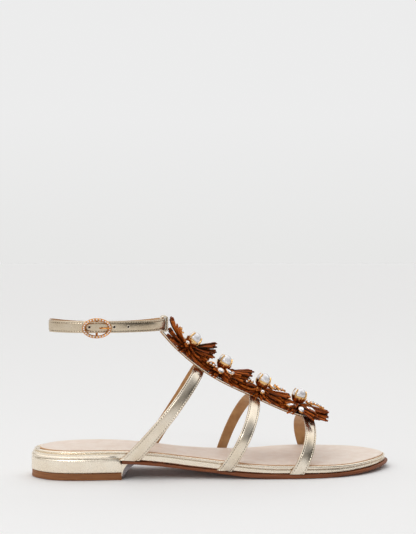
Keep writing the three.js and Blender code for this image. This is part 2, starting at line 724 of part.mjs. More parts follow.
// One layer: a hub with a corner between each two petals, and petals slit into strands that
// lift off evenly from the hub to their tips
function petalLayerGeometry(flower, layer, level) {
  const floor = barWall + petalSeat + level * petalPitch;
  const flat = [];
  const addPoint = (angle, distance, offset, lift) => {
    const forward = Math.cos(angle) * distance - Math.sin(angle) * offset;
    const sideways = Math.sin(angle) * distance + Math.cos(angle) * offset;
    flat.push({ forward, sideways, lift });
    return flat.length - 1;
  };
  const turn = layer.turn * flower.stagger;
  const angles = Array.from({ length: petals }, (_, i) => turn + (Math.PI * 2 * i) / petals);
  const corners = angles.map((angle) => addPoint(angle, hubReach, -petalWidth / 2, 0));
  const topFaces = [];
  const outline = [];
  for (let i = 1; i < petals - 1; i += 1) topFaces.push([corners[0], corners[i], corners[i + 1]]);
  angles.forEach((angle, i) => {
    const rise = tipLift(flower, layer, angle);
    const room = roomBehind(flower, angle, floor + rise);
    const reach = Math.min(petalReach(flower, layer, angle), room);
    const start = corners[i];
    const end = corners[(i + 1) % petals];
    const slitDistance = hubReach + (reach - hubReach) * slitShare;
    const slits = [];
    for (let k = 0; k <= strands; k += 1) {
      slits.push(addPoint(angle, slitDistance, (k / strands - 0.5) * petalWidth, rise * slitShare));
    }
    topFaces.push([start, slits[0], slits[1]], [start, slits[1], end]);
    topFaces.push([end, slits[1], slits[2]], [end, slits[2], slits[3]]);
    outline.push(start, slits[0]);
    for (let k = 0; k < strands; k += 1) {
      const isMiddle = k === (strands - 1) / 2;
      const share = isMiddle ? 1 : 0.9;
      const distance = hubReach + (reach - hubReach) * share;
      const middle = ((k + 0.5) / strands - 0.5) * petalWidth;
      const left = addPoint(angle, distance, middle - strandWidth / 2, rise * share);
      const right = addPoint(angle, distance, middle + strandWidth / 2, rise * share);
      topFaces.push([slits[k], left, right], [slits[k], right, slits[k + 1]]);
      outline.push(left, right, slits[k + 1]);
    }
  });
  const count = flat.length;
  const upwards = ridgeNormal(flower.along);
  const points = [0, petalThickness].flatMap((height) => flat.map((p) => (
    flowerPlaceBent(flower, p.forward, p.sideways, floor + height).addScaledVector(upwards, p.lift))));
  const faces = [];
  for (const [a, b, c] of topFaces) {
    faces.push([a + count, b + count, c + count], [a, c, b]);
  }
  outline.forEach((a, i) => {
    const b = outline[(i + 1) % outline.length];
    faces.push([a, b, b + count], [a, b + count, a + count]);
  });
  return bodyFromFaces(points, faces);
}

const sprayFloor = barWall + petalSeat + petalRows.length * petalPitch;
const cupFloor = sprayFloor + stoneBase + seam;

// A cup with four claws; its inside follows the pearl
function pearlCupGeometry(flower) {
  const radius = pearlDiameter / 2 + seam;
  const brim = Math.PI * 0.58;
  const inside = [0, 1, 2, 3].map((i) => {
    const polar = brim + (Math.PI - brim) * (i / 3);
    const spread = radius * 1.02;
    const across = i < 3 ? spread * Math.sin(polar) : 0;
    return new THREE.Vector2(across, pearlHeight + spread * Math.cos(polar));
  });
  const brimHeight = inside[0].y;
  const profile = [
    new THREE.Vector2(0, cupFloor),
    new THREE.Vector2(radius * 0.55, cupFloor),
    new THREE.Vector2(radius * 0.95, pearlHeight - radius * 0.6),
    new THREE.Vector2(inside[0].x + cupWall, brimHeight),
    ...inside,
  ];
  const bowl = new THREE.LatheGeometry(profile, 12);
  bowl.rotateX(Math.PI / 2);
  const claws = [0, 1, 2, 3].map((quarter) => {
    const turn = ((quarter + 0.5) * Math.PI) / 2;
    const path = [];
    const normals = [];
    const steps = 3;
    for (let i = 0; i <= steps; i += 1) {
      const polar = Math.PI * (0.62 - 0.34 * (i / steps));
      const normal = new THREE.Vector3().setFromSphericalCoords(1, polar, turn);
      normal.applyAxisAngle(xAxis, Math.PI / 2);
      path.push(normal.clone().multiplyScalar(radius * 1.03).setZ(normal.z * radius * 1.03 + pearlHeight));
      normals.push(normal);
    }
    return bandAlong(path, normals, path.map((_, i) => clawWidth * (1 - 0.15 * i)), cupWall);
  });
  return onFlower(flower, toGeometry(joined([bowl, ...claws])));
}

function pearlGeometry(flower) {
  const pearl = new THREE.IcosahedronGeometry(pearlDiameter / 2, 2);
  pearl.translate(0, 0, pearlHeight);
  return onFlower(flower, pearl);
}

// Cut stones in their settings, fused to a plate round the foot of the pearl's cup
function crystalSprayGeometry(flower) {
  const stones = 6;
  const plateRadius = stoneRing - stoneLength / 4;
  const plate = new THREE.CylinderGeometry(plateRadius, plateRadius, stoneBase, 12);
  plate.rotateX(Math.PI / 2);
  plate.translate(0, 0, sprayFloor + stoneBase / 2);
  const pieces = [plate];
  for (let i = 0; i < stones; i += 1) {
    const stone = new THREE.OctahedronGeometry(1, 0);
    stone.scale(stoneLength / 2, stoneWidth / 2, stoneHeight / 2);
    stone.translate(stoneRing, 0, sprayFloor + stoneHeight / 2);
    stone.rotateZ((Math.PI * 2 * (i + 0.5)) / stones);
    pieces.push(stone);
  }
  return onFlower(flower, toGeometry(joined(pieces)));
}

// Moves a body modelled upright over its own origin to its flower
function onFlower(flower, geometry) {
  const position = geometry.attributes.position;
  for (let i = 0; i < position.count; i += 1) {
    const place = flowerPlace(flower, position.getX(i), position.getY(i), position.getZ(i));
    position.setXYZ(i, place.x, place.y, place.z);
  }
  return geometry;
}

// The sandal

const sandal = new THREE.Group();

function addPiece(name, geometry, finish) {
  const mesh = new THREE.Mesh(geometry, new THREE.MeshStandardMaterial(finishes[finish]));
  mesh.name = name;
  sandal.add(mesh);
}

addPiece('heel_toplift', topliftGeometry(), 'brown');
addPiece('heel_block', heelBlockGeometry(), 'gold');
addPiece('outsole', outsoleGeometry(), 'brown');
addPiece('midsole', midsoleGeometry(), 'gold');
addPiece('insole_board', insoleBoardGeometry(), 'gold');
addPiece('insole_sock', insoleSockGeometry(), 'sock');
addPiece('upper_straps', upperGeometry(), 'gold');
addPiece('ankle_strap', ankleStrapGeometry(), 'gold');
addPiece('buckle_frame', buckleFrameGeometry(), 'setting');
addPiece('buckle_prong', buckleProngGeometry(), 'setting');

flowerRows.forEach((flower, i) => {
  const number = i + 1;
  petalRows.forEach((layer, level) => {
    addPiece(`petals_${layer.name}_${number}`, petalLayerGeometry(flower, layer, level), 'raffia');
  });
  addPiece(`crystal_spray_${number}`, crystalSprayGeometry(flower), 'crystal');
  addPiece(`pearl_cup_${number}`, pearlCupGeometry(flower), 'setting');
  addPiece(`pearl_${number}`, pearlGeometry(flower), 'pearl');
});

export default sandal;
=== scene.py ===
import math
import random

import bmesh
import bpy
import numpy as np
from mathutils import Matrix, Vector


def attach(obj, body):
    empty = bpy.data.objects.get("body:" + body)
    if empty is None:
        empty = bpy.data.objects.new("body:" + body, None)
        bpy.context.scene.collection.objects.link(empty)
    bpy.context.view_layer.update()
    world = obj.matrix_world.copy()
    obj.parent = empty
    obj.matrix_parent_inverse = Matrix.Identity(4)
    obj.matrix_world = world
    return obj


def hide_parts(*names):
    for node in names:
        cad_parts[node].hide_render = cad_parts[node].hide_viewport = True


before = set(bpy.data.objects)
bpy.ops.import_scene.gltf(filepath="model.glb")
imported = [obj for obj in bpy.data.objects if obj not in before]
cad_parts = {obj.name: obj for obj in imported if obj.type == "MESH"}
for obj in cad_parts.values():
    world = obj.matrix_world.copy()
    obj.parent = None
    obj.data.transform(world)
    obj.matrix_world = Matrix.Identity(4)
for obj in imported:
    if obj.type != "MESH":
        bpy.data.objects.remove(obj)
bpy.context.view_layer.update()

draw = random.Random(11)

# Everything below is worked out in millimetres and scaled once, when a mesh is made.
metresPerMm = 0.001

# These sizes are the solids' own.
sole = {
    "length": 250.0, "ballWidth": 80.6, "setback": 33.0, "heelRise": 10.7, "stack": 8.3,
    "heelLength": 60.0, "toplift": 4.5, "ledge": 2.0, "seam": 0.3, "sockInset": 3.6,
    "breastRadius": 7.4, "breastInset": 2.0,
}
upper = {"wall": 1.5, "width": 8.0, "barWidth": 11.0, "barWall": 1.8, "instep": 96.7}
ankle = {
    "height": 102.4, "length": 76.4, "halfWidth": 28.8, "front": 56.6, "dip": 3.8,
    "width": 7.6, "wall": 1.6, "lift": 2.7, "tail": 27.6, "liftStart": 32.0, "liftEnd": 7.0,
    "squareness": 2.5,
}
buckle = {
    "x": 10.5, "z": 101.8, "halfLength": 9.7, "halfHeight": 6.6, "rim": 2.4, "depth": 2.0,
    "bar": 0.8, "prong": 0.6,
}

# along the sole, half width of the outer side, half width of the inner side
outlineRows = np.array([
    (0, .03, .03), (.006, .081, .081), (.02, .143, .143), (.048, .216, .216),
    (.08, .259, .262), (.12, .284, .287), (.18, .297, .287), (.26, .305, .253),
    (.34, .314, .213), (.42, .336, .194), (.5, .375, .235), (.58, .419, .34),
    (.66, .451, .44), (.74, .467, .51), (.8, .459, .525), (.848, .43, .496),
    (.896, .373, .437), (.936, .295, .355), (.968, .205, .25), (.988, .126, .152),
    (.997, .066, .078), (1, .026, .03),
])
# along, underside of the rise, stack, shares of the stack for the outsole and the edge
profileRows = np.array([
    (0, 1, 1, .36, .18), (.18, 1, 1, .36, .18), (.226, .98, 1, .36, .17),
    (.236, .975, 1, .27, .17), (.34, .775, 1, .23, .19), (.42, .54, 1, .2, .21),
    (.5, .315, 1, .23, .24), (.58, .09, 1.01, .3, .28), (.66, 0, 1.01, .33, .31),
    (.77, 0, .94, .32, .3), (.848, .05, .85, .31, .28), (.936, .17, .79, .32, .28),
    (1, .3, .68, .34, .28),
])
# along, height of the instep's ridge
ridgeRows = np.array([
    (.35, 1), (.39, .884), (.444, .761), (.49, .678), (.538, .609), (.6, .533),
    (.666, .452), (.704, .41), (.776, .353),
])


def readRow(rows, along, column):
    # A smooth curve through the rows that doesn't swing past them.
    xs, ys = rows[:, 0], rows[:, column]
    along = min(max(along, xs[0]), xs[-1])
    i = min(int(np.searchsorted(xs, along, side="right")) - 1, len(xs) - 2)
    slopes = np.diff(ys) / np.diff(xs)

    def bend(k):
        if k == 0 or k == len(xs) - 1:
            return slopes[min(k, len(slopes) - 1)]
        a, b = slopes[k - 1], slopes[k]
        return 0.0 if a * b <= 0 else 2 * a * b / (a + b)

    h = xs[i + 1] - xs[i]
    t = (along - xs[i]) / h
    return ((1 + 2 * t) * (1 - t) ** 2 * ys[i] + t * (1 - t) ** 2 * h * bend(i)
            + t * t * (3 - 2 * t) * ys[i + 1] + t * t * (t - 1) * h * bend(i + 1))


def toX(along):
    return along * sole["length"] - sole["setback"]


def toAlong(x):
    return (x + sole["setback"]) / sole["length"]


def underside(along):
    return readRow(profileRows, along, 1) * sole["heelRise"]


def stackAt(along):
    return readRow(profileRows, along, 2) * sole["stack"]


def outsoleTop(along):
    return underside(along) + stackAt(along) * readRow(profileRows, along, 3)


def edgeTop(along):
    return underside(along) + stackAt(along)


def edgeBottom(along):
    return edgeTop(along) - stackAt(along) * readRow(profileRows, along, 4)


def halfWidth(along, side):
    return readRow(outlineRows, along, 1 if side < 0 else 2) * sole["ballWidth"]


def ridgeHeight(along):
    # Straight on beyond both ends of the rows.
    inside = min(max(along, ridgeRows[0][0]), ridgeRows[-1][0])
    a, b = ridgeRows[:2] if along < inside else ridgeRows[-2:]
    slope = (b[1] - a[1]) / (b[0] - a[0])
    return (readRow(ridgeRows, inside, 1) + slope * (along - inside)) * upper["instep"]


def ridgeNormal(along):
    step = 0.012
    rise = ridgeHeight(along + step) - ridgeHeight(along - step)
    return Vector((-rise, 0, 2 * step * sole["length"])).normalized()


def smooth(share):
    # Eases from 0 to 1 and holds both ends.
    share = min(1.0, max(0.0, share))
    return share * share * (3 - 2 * share)


def tableOf(keys, *rows):
    return [dict(zip(keys.split(), row)) for row in rows]


def turns(count):
    return [math.tau * k / count for k in range(count)]


def around(ahead, aside, angle):
    # The direction at an angle in the plane of two directions.
    return ahead * math.cos(angle) + aside * math.sin(angle)


def linear(code):
    # From the sRGB code that a person reads to the linear values that the shader wants.
    values = [int(code[i:i + 2], 16) / 255 for i in (1, 3, 5)]
    return tuple(v / 12.92 if v <= 0.04045 else ((v + 0.055) / 1.055) ** 2.4
                 for v in values) + (1.0,)


def connect(tree, node, **links):
    # Sockets are set or linked by name; "_" stands for a space, "n2" for the socket's number.
    for key, value in links.items():
        numbered = key[0] == "n" and key[1:].isdigit()
        socket = node.inputs[int(key[1:]) if numbered else key.replace("_", " ")]
        if isinstance(value, bpy.types.Node):
            value = value.outputs[0]
        if isinstance(value, bpy.types.NodeSocket):
            tree.links.new(value, socket)
        else:
            socket.default_value = value


def addNode(tree, kind, settings=None, stops=(), **links):
    # stops are a colour ramp's places and tones, as sRGB codes or plain values.
    node = tree.nodes.new(kind)
    for key, value in (settings or {}).items():
        setattr(node, key, value)
    while stops and len(node.color_ramp.elements) < len(stops):
        node.color_ramp.elements.new(0.5)
    for i, (position, code) in enumerate(stops):
        element = node.color_ramp.elements[i]
        element.position = position
        element.color = linear(code) if isinstance(code, str) else (code, code, code, 1)
    connect(tree, node, **links)
    return node


def newMaterial(name):
    material = bpy.data.materials.new(name)
    material.use_nodes = True
    tree = material.node_tree
    here = addNode(tree, "ShaderNodeTexCoord").outputs
    return material, tree, tree.nodes["Principled BSDF"], here


# Per metre: patches 18 mm wide, gloss that changes every 4 mm, creases 10 mm apart and grains
# of 0.5 mm; then the depth of a crease and the range of the gloss.
foil = {"patches": 55, "gloss": 260, "creases": 95, "grains": 1900.0, "creaseDepth": .0007,
        "smoothest": .22, "roughest": .32}


def foilLeather(name, low, high, grainDepth, strength):
    # Foil bonded to kid leather: it mirrors the studio in soft creased bands.
    material, tree, shader, here = newMaterial(name)
    patches = addNode(tree, "ShaderNodeTexNoise", Vector=here["Object"],
                      Scale=foil["patches"], Detail=4, Roughness=0.55)
    tone = addNode(tree, "ShaderNodeValToRGB", stops=[(0.3, low), (0.7, high)], Fac=patches)
    gloss = addNode(tree, "ShaderNodeTexNoise", Vector=here["Object"], Scale=foil["gloss"],
                    Detail=3, Roughness=0.55)
    rough = addNode(tree, "ShaderNodeMapRange", Value=gloss, To_Min=foil["smoothest"],
                    To_Max=foil["roughest"])
    creases = addNode(tree, "ShaderNodeTexNoise", Vector=here["Object"], Scale=foil["creases"],
                      Detail=2, Roughness=0.5, Distortion=0.6)
    grains = addNode(tree, "ShaderNodeTexVoronoi", Vector=here["Object"], Scale=foil["grains"])
    relief = addNode(tree, "ShaderNodeBump", Height=creases, Distance=foil["creaseDepth"],
                     Strength=strength)
    relief = addNode(tree, "ShaderNodeBump", Height=grains, Distance=grainDepth,
                     Strength=strength, Normal=relief)
    connect(tree, shader, Metallic=1.0, Roughness=rough, Base_Color=tone, Normal=relief)
    return material


goldLeather = foilLeather("champagne foil leather", "#E0D0B8", "#F2E8D8", 0.00001, 0.12)
# The ankle strap's foil: its coarser grain is its own, and its darker tone is painted shade for
# the upright strap.
shadedStrapFoil = foilLeather("grained champagne foil with painted shade", "#C2AF94", "#D6C8B2", 0.00003, 0.3)
wrapLeather = foilLeather("champagne foil wrap", "#EFE1CC", "#F6ECDB", 0.000001, 0.06)


def finish(name, tone, stops, rough, depth=0.0, strength=0.5, relief=None, stretch=None,
           **values):
    # tone and relief are noises: scale per metre, detail, roughness. Without a relief of its
    # own the tone is the relief too. values are the shader's other sockets.
    material, tree, shader, here = newMaterial(name)
    spot = here["Object"]
    if stretch:
        spot = addNode(tree, "ShaderNodeMapping", Vector=spot, Scale=stretch)
    noises = [addNode(tree, "ShaderNodeTexNoise", Vector=spot, Scale=scale, Detail=detail,
                      Roughness=roughness)
              for scale, detail, roughness in filter(None, (tone, relief))]
    colour = addNode(tree, "ShaderNodeValToRGB", stops=stops, Fac=noises[0])
    connect(tree, shader, Base_Color=colour, Roughness=rough, **values)
    if depth:
        bumps = addNode(tree, "ShaderNodeBump", Height=noises[-1], Distance=depth,
                        Strength=strength)
        connect(tree, shader, Normal=bumps)
    return material


def matLeather(name, low, high, rough, grainScale, grainDepth, **values):
    # Unfinished lining and sock leather: no mirror, only a nap of about 0.5 mm and a tone
    # that changes every 8 mm.
    return finish(name, (120, 5, 0.6), [(0.3, low), (0.7, high)], rough, grainDepth, 0.6,
                  (grainScale, 4, 0.7), **values)


def moulded(name, dark, mid, light, rough):
    # Stacked, stained sole board: fine lines, 0.7 mm apart, run along the edge.
    return finish(name, (1500, 3, 0.6), [(0.25, dark), (0.5, mid), (0.78, light)], rough,
                  0.00012, stretch=(0.03, 0.03, 1.0))


def plated(name, low, high, rough):
    # Bright plating with the faint 1 mm swirl of tumble polishing.
    return finish(name, (900, 3, 0.55), [(0.3, low), (0.7, high)], rough, 0.00005, 0.4,
                  Metallic=1.0)


lining = matLeather("tan suede lining", "#A9794A", "#C49765", 0.85, 2600, 0.0002,
                    Sheen_Weight=0.25)
tanEdge = matLeather("tan cut edge of the sock", "#D3A274", "#E2B98F", 0.6, 2000, 0.00008)
sockLeather = matLeather("blush sock leather", "#EBD8C8", "#F5E8DC", 0.5, 1800, 0.00008)
soleBrown = moulded("stained brown outsole", "#5C2A0C", "#7E4016", "#965224", 0.45)
# Painted glare: the breast cover is the brown sole leather, painted grey where it catches the
# glare.
paintedGlareSole = moulded("brown sole leather with painted grey glare", "#5C5356", "#837B7E", "#A09899", 0.35)
topliftBrown = moulded("stacked brown top piece", "#6C3C18", "#8A5324", "#A56D3A", 0.5)
settingGold = plated("polished gold plate", "#D9A255", "#F0CD96", 0.22)
roseGold = plated("polished rose gold plate", "#BE7630", "#E8AE6C", 0.2)
# Nacre coat over a silver white bead: sharp lights over a milky body, in 3 mm clouds.
pearlWhite = finish("silver white pearl", (320, 2, 0.55),
                    [(0.35, "#E4E2E5"), (0.65, "#FBFAFB")], 0.16,
                    Metallic=0.2, Coat_Weight=1.0, Coat_Roughness=0.04)
# Foil backed cut glass: each facet throws back one flat patch of the studio.
crystal = finish("foil backed crystal", (700, 1, 0.55),
                 [(0.35, "#D9DCE6"), (0.5, "#FFFFFF"), (0.68, "#E9E0D8")], 0.05,
                 Metallic=0.8, Coat_Weight=1.0, Coat_Roughness=0.02)
# Painted shade for a punched hole, over the brown of its raw leather wall: near black, and fuzzy
# at its rim.
holeShadeAndEdge = finish("punched hole with painted shade", (3000, 4, 0.55),
                  [(0.3, "#1E120A"), (0.7, "#4A2F1C")], 0.95, 0.0001, 0.6)


def threadMaterial():
    # Bonded thread: dull, with the twist of its plies, about 1 mm long.
    material, tree, shader, here = newMaterial("brown bonded thread")
    plies = addNode(tree, "ShaderNodeTexWave", {"bands_direction": "DIAGONAL"},
                    Vector=here["Object"], Scale=900.0, Distortion=1.0).outputs["Fac"]
    tone = addNode(tree, "ShaderNodeValToRGB", stops=[(0.2, "#3E3020"), (0.8, "#6E583C")],
                   Fac=plies)
    relief = addNode(tree, "ShaderNodeBump", Height=plies, Distance=0.00008, Strength=0.6)
    connect(tree, shader, Base_Color=tone, Roughness=0.75, Normal=relief)
    return material


def raffiaMaterial():
    # Varnished flat straw: each strip has its own tone, and its long edges are painted darker as
    # shade in the gaps between strips.
    # The strips' own coordinates are in millimetres: fibres 0.3 mm wide, patches of 2 to 4 mm.
    material, tree, shader, here = newMaterial("varnished raffia")
    own = addNode(tree, "ShaderNodeAttribute", {"attribute_name": "tone"}).outputs["Fac"]
    along = addNode(tree, "ShaderNodeMapping", Vector=here["UV"], Scale=(0.09, 1.0, 1.0))
    fibre = addNode(tree, "ShaderNodeTexNoise", Vector=along, Scale=3.2, Detail=4,
                    Roughness=0.65)
    broad = addNode(tree, "ShaderNodeMapping", Vector=here["UV"], Scale=(0.25, 0.5, 1.0))
    patch = addNode(tree, "ShaderNodeTexNoise", Vector=broad, Scale=0.9, Detail=2,
                    Roughness=0.55)
    mixed = addNode(tree, "ShaderNodeMath", {"operation": "MULTIPLY_ADD"}, n0=fibre, n1=0.5,
                    n2=own)
    mixed = addNode(tree, "ShaderNodeMath", {"operation": "MULTIPLY_ADD"}, n0=patch, n1=0.45,
                    n2=mixed)
    # Painted shade: towards its long edges each strip slides down the ramp to its near black, the
    # shade in the gaps between strips.
    across = addNode(tree, "ShaderNodeSeparateXYZ", Vector=here["UV"]).outputs["Y"]
    across = addNode(tree, "ShaderNodeMath", {"operation": "ABSOLUTE"}, n0=across)
    edge = addNode(tree, "ShaderNodeMapRange", Value=across, From_Min=0.45, From_Max=0.85,
                   To_Min=0.0, To_Max=0.4)
    mixed = addNode(tree, "ShaderNodeMath", {"operation": "SUBTRACT"}, n0=mixed, n1=edge)
    colour = addNode(tree, "ShaderNodeValToRGB", Fac=mixed, stops=[
        (0.12, "#240B03"), (0.4, "#8A3A0B"), (0.66, "#BE5E19"), (0.95, "#E0944B")])
    relief = addNode(tree, "ShaderNodeBump", Height=fibre, Distance=0.00025, Strength=0.8)
    connect(tree, shader, Base_Color=colour, Roughness=0.5, Specular_IOR_Level=0.3,
            Specular_Tint=linear("#FFD9A8"), Normal=relief)
    return material


thread = threadMaterial()
raffia = raffiaMaterial()
print("materials ready")


class Shape:
    # Gathers several closed forms into one mesh.
    def __init__(self, rings=None, **options):
        self.points, self.faces, self.uv, self.tone = [], [], [], []
        if rings:
            self.rings(rings, **options)

    def add(self, points, faces, uv=None, tone=0.0):
        start = len(self.points)
        self.points += [tuple(p) for p in points]
        self.faces += [tuple(i + start for i in face) for face in faces]
        self.uv += uv if uv is not None else [(0.0, 0.0)] * len(points)
        self.tone += [tone] * len(points)

    def rings(self, rings, closed=False, caps=True, uv=None, tone=0.0):
        # Rings of equal length that follow one another, closed at both ends by caps.
        size = len(rings[0])
        count = len(rings)
        faces = []
        for r in range(count if closed else count - 1):
            a, b = r * size, ((r + 1) % count) * size
            for i in range(size):
                j = (i + 1) % size
                faces.append((a + i, a + j, b + j, b + i))
        if caps and not closed:
            faces.append(tuple(reversed(range(size))))
            faces.append(tuple((count - 1) * size + i for i in range(size)))
        self.add([p for ring in rings for p in ring], faces, uv, tone)

    def make(self, name, material, slotName, nodes=(), sharp=None, strips=False):
        # sharp is the angle in degrees from which an edge shows; with 0 every facet is flat.
        mesh = bpy.data.meshes.new(name)
        mesh.from_pydata([tuple(c * metresPerMm for c in p) for p in self.points], [], self.faces)
        mesh.validate()
        mesh.materials.append(material)
        mesh.polygons.foreach_set("use_smooth", [sharp != 0] * len(mesh.polygons))
        if strips:
            layer = mesh.uv_layers.new(name="strip")
            corners = [self.uv[loop.vertex_index] for loop in mesh.loops]
            layer.data.foreach_set("uv", np.array(corners, dtype=np.float32).ravel())
            attribute = mesh.attributes.new("tone", "FLOAT", "POINT")
            attribute.data.foreach_set("value", np.array(self.tone, dtype=np.float32))
        if sharp:
            mesh.set_sharp_from_angle(angle=math.radians(sharp))
        mesh.update()
        piece = bpy.data.objects.new(name, mesh)
        bpy.context.scene.collection.objects.link(piece)
        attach(piece, "root")
        if nodes:
            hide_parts(*nodes)
        return piece


def framesAlong(path, normals):
    # Tangent, normal and the direction across at each point of a path.
    frames = []
    for i, point in enumerate(path):
        before, after = path[max(i - 1, 0)], path[min(i + 1, len(path) - 1)]
        tangent = (after - before).normalized()
        normal = (normals[i] - tangent * normals[i].dot(tangent)).normalized()
        frames.append((point, tangent, normal, tangent.cross(normal)))
    return frames


def sweep(shape, path, normals, sections, tone=0.0):
    # sections gives, for each point of the path, a ring of (across, outward).
    rings, uv, gone = [], [], 0.0
    frames = framesAlong(path, normals)
    for i, (point, _, normal, across) in enumerate(frames):
        if i:
            gone += (path[i] - path[i - 1]).length
        rings.append([point + across * u + normal * v for u, v in sections[i]])
        uv += [(gone, u) for u, v in sections[i]]
    shape.rings(rings, uv=uv, tone=tone)
    return frames


def leatherSection(width, wall):
    # Folded leather: rounded edges, a stitched furrow inside each, and a soft crown.
    h = width / 2
    half = [(h - 0.25, 0.5), (h, 0.66), (h - 0.02, wall - 0.45), (h - 0.22, wall - 0.14),
            (h - 0.6, wall - 0.02), (h - 0.95, wall - 0.1), (h - 1.15, wall - 0.24),
            (h - 1.4, wall - 0.1), (h - 1.9, wall), (h * 0.3, wall + 0.1)]
    return [(-u, v) for u, v in half] + half[::-1]


def liningSection(width):
    h = width / 2 + 0.04
    return [(-h, 0.1), (-h, 0.5), (-h + 0.3, 0.6), (h - 0.3, 0.6), (h, 0.5), (h, 0.1),
            (h - 0.2, 0.0), (-h + 0.2, 0.0)]


stitch = {"first": 1.2, "pitch": 1.75, "length": 1.15, "radius": .19, "sink": .16, "inset": 1.15}


def stitchRow(shape, frames, offset, height):
    # Short plump threads that dip into their holes at both ends.
    distances = [0.0]
    for a, b in zip(frames, frames[1:]):
        distances.append(distances[-1] + (b[0] - a[0]).length)

    def at(distance):
        i = min(max(int(np.searchsorted(distances, distance)) - 1, 0), len(frames) - 2)
        span = distances[i + 1] - distances[i]
        t = (distance - distances[i]) / span
        return [frames[i][k].lerp(frames[i + 1][k], t) for k in range(4)]

    gone = stitch["first"]
    while gone + stitch["length"] < distances[-1] - stitch["first"]:
        rings = []
        for share, swell, sunk in ((0, 0.35, 1), (0.2, 1, 0), (0.8, 1, 0), (1, 0.35, 1)):
            point, _, normal, across = at(gone + share * stitch["length"])
            centre = point + across * offset + normal * (height - sunk * stitch["sink"])
            radius = stitch["radius"] * swell
            rings.append([centre + around(across, normal, a) * radius for a in turns(6)])
        shape.rings(rings)
        gone += stitch["pitch"]


def smoothSides():
    # The outline's points at equal steps on both sides, from the heel to the toe.
    sides = {}
    for side in (-1, 1):
        column = 1 if side < 0 else 2
        points = [Vector((toX(row[0]), side * row[column] * sole["ballWidth"], 0))
                  for row in outlineRows]
        first = Vector((points[0].x, -points[0].y, 0))
        last = Vector((points[-1].x, -points[-1].y, 0))
        sides[side] = [first] + points + [last]
    lateral, medial = [], []
    for i in range(1, len(outlineRows)):
        span = (sides[-1][i + 1] - sides[-1][i]).length
        steps = max(2, round(span / 2.2))
        for k in range(steps):
            t = k / steps
            for side, line in ((-1, lateral), (1, medial)):
                a, b, c, d = sides[side][i - 1:i + 3]
                ab, bc, cd = (b - a).length ** 0.5, (c - b).length ** 0.5, (d - c).length ** 0.5
                ta, tb, tc, td = 0, ab, ab + bc, ab + bc + cd
                at = tb + (tc - tb) * t
                e = a.lerp(b, (at - ta) / (tb - ta))
                f = b.lerp(c, (at - tb) / (tc - tb))
                g = c.lerp(d, (at - tc) / (td - tc))
                h = e.lerp(f, (at - ta) / (tc - ta))
                j = f.lerp(g, (at - tb) / (td - tb))
                line.append(h.lerp(j, (at - tb) / (tc - tb)))
    lateral.append(sides[-1][-2])
    medial.append(sides[1][-2])
    return lateral, medial


lateralLine, medialLine = smoothSides()


def outwardNormals(line, side):
    normals = [Vector((-1, 0, 0))]
    for before, after in zip(line, line[2:]):
        tangent = (after - before).normalized()
        normals.append(Vector((-tangent.y * side, tangent.x * side, 0)))
    return normals + [Vector((1, 0, 0))]


lateralNormals = outwardNormals(lateralLine, -1)
medialNormals = outwardNormals(medialLine, 1)


def cutLine(line, normals, low, high):
    # The part of a side between two X values, with a point exactly on each cut.
    points, outs = [], []
    for i, point in enumerate(line):
        if i and (line[i - 1].x < low < point.x or line[i - 1].x < high < point.x):
            cut = low if line[i - 1].x < low < point.x else high
            t = (cut - line[i - 1].x) / (point.x - line[i - 1].x)
            points.append(line[i - 1].lerp(point, t))
            outs.append(Vector((0, math.copysign(1, point.y), 0)))
        if low <= point.x <= high:
            points.append(point)
            outs.append(normals[i])
    return points, outs


def soleLayer(shape, rings, low=-99, high=999, across=7):
    # rings run from the middle of the underside to the middle of the top, each an inset
    # and a height; both faces are grids, so that they bend smoothly.
    sides = [cutLine(lateralLine, lateralNormals, low, high),
             cutLine(medialLine, medialNormals, low, high)]
    count = len(sides[0][0])

    def ringPoints(*ring):
        found = []
        for points, normals in sides:
            row = []
            for point, normal in zip(points, normals):
                along = toAlong(point.x)
                inset, height = (v(along) if callable(v) else v for v in ring)
                spot = point - normal * inset
                row.append(Vector((spot.x, spot.y, height)))
            found.append(row)
        return found

    loops = [ringPoints(*ring) for ring in rings]
    shape.rings([loop[0] + loop[1][::-1] for loop in loops], caps=False)
    for loop, isTop in ((loops[0], False), (loops[-1], True)):
        points = []
        for a, b in zip(loop[0], loop[1]):
            points += [a.lerp(b, k / across) for k in range(across + 1)]
        faces = []
        for i in range(count - 1):
            for k in range(across):
                a = i * (across + 1) + k
                quad = (a, a + across + 1, a + across + 2, a + 1)
                faces.append(quad if isTop else quad[::-1])
        shape.add(points, faces)


def fuse(piece):
    # Welds the faces of one form where their edges meet.
    mesh = bmesh.new()
    mesh.from_mesh(piece.data)
    bmesh.ops.remove_doubles(mesh, verts=mesh.verts, dist=0.01 * metresPerMm)
    bmesh.ops.recalc_face_normals(mesh, faces=mesh.faces)
    mesh.to_mesh(piece.data)
    mesh.free()


def above(level, rise):
    # A fixed step from a height or an inset that changes along the sole.
    return lambda along: level(along) + rise


def solePiece(name, material, slotName, nodes, sharp, rings, **limits):
    shape = Shape()
    soleLayer(shape, rings, **limits)
    fuse(shape.make(name, material, slotName, nodes, sharp))


heelFrontX = sole["heelLength"] - sole["setback"]
gap = sole["seam"]
liftTop = sole["toplift"]

solePiece("heel_top_piece", topliftBrown, "brown_sole", ["heel_toplift"], 40, [
    (1.2, 0.0), (0.5, 0.0), (0.25, 0.25), (0.35, 1.2), (0.5, 2.6), (0.45, liftTop - 0.3),
    (0.7, liftTop), (3.0, liftTop),
], high=heelFrontX)


def blockCeiling(along):
    # The top front corner of the block is rounded.
    radius = 3.2
    over = max(0.0, toX(along) - (heelFrontX - radius))
    return outsoleTop(0.1) - gap - (radius - math.sqrt(max(0.0, radius ** 2 - over ** 2))) * 0.9


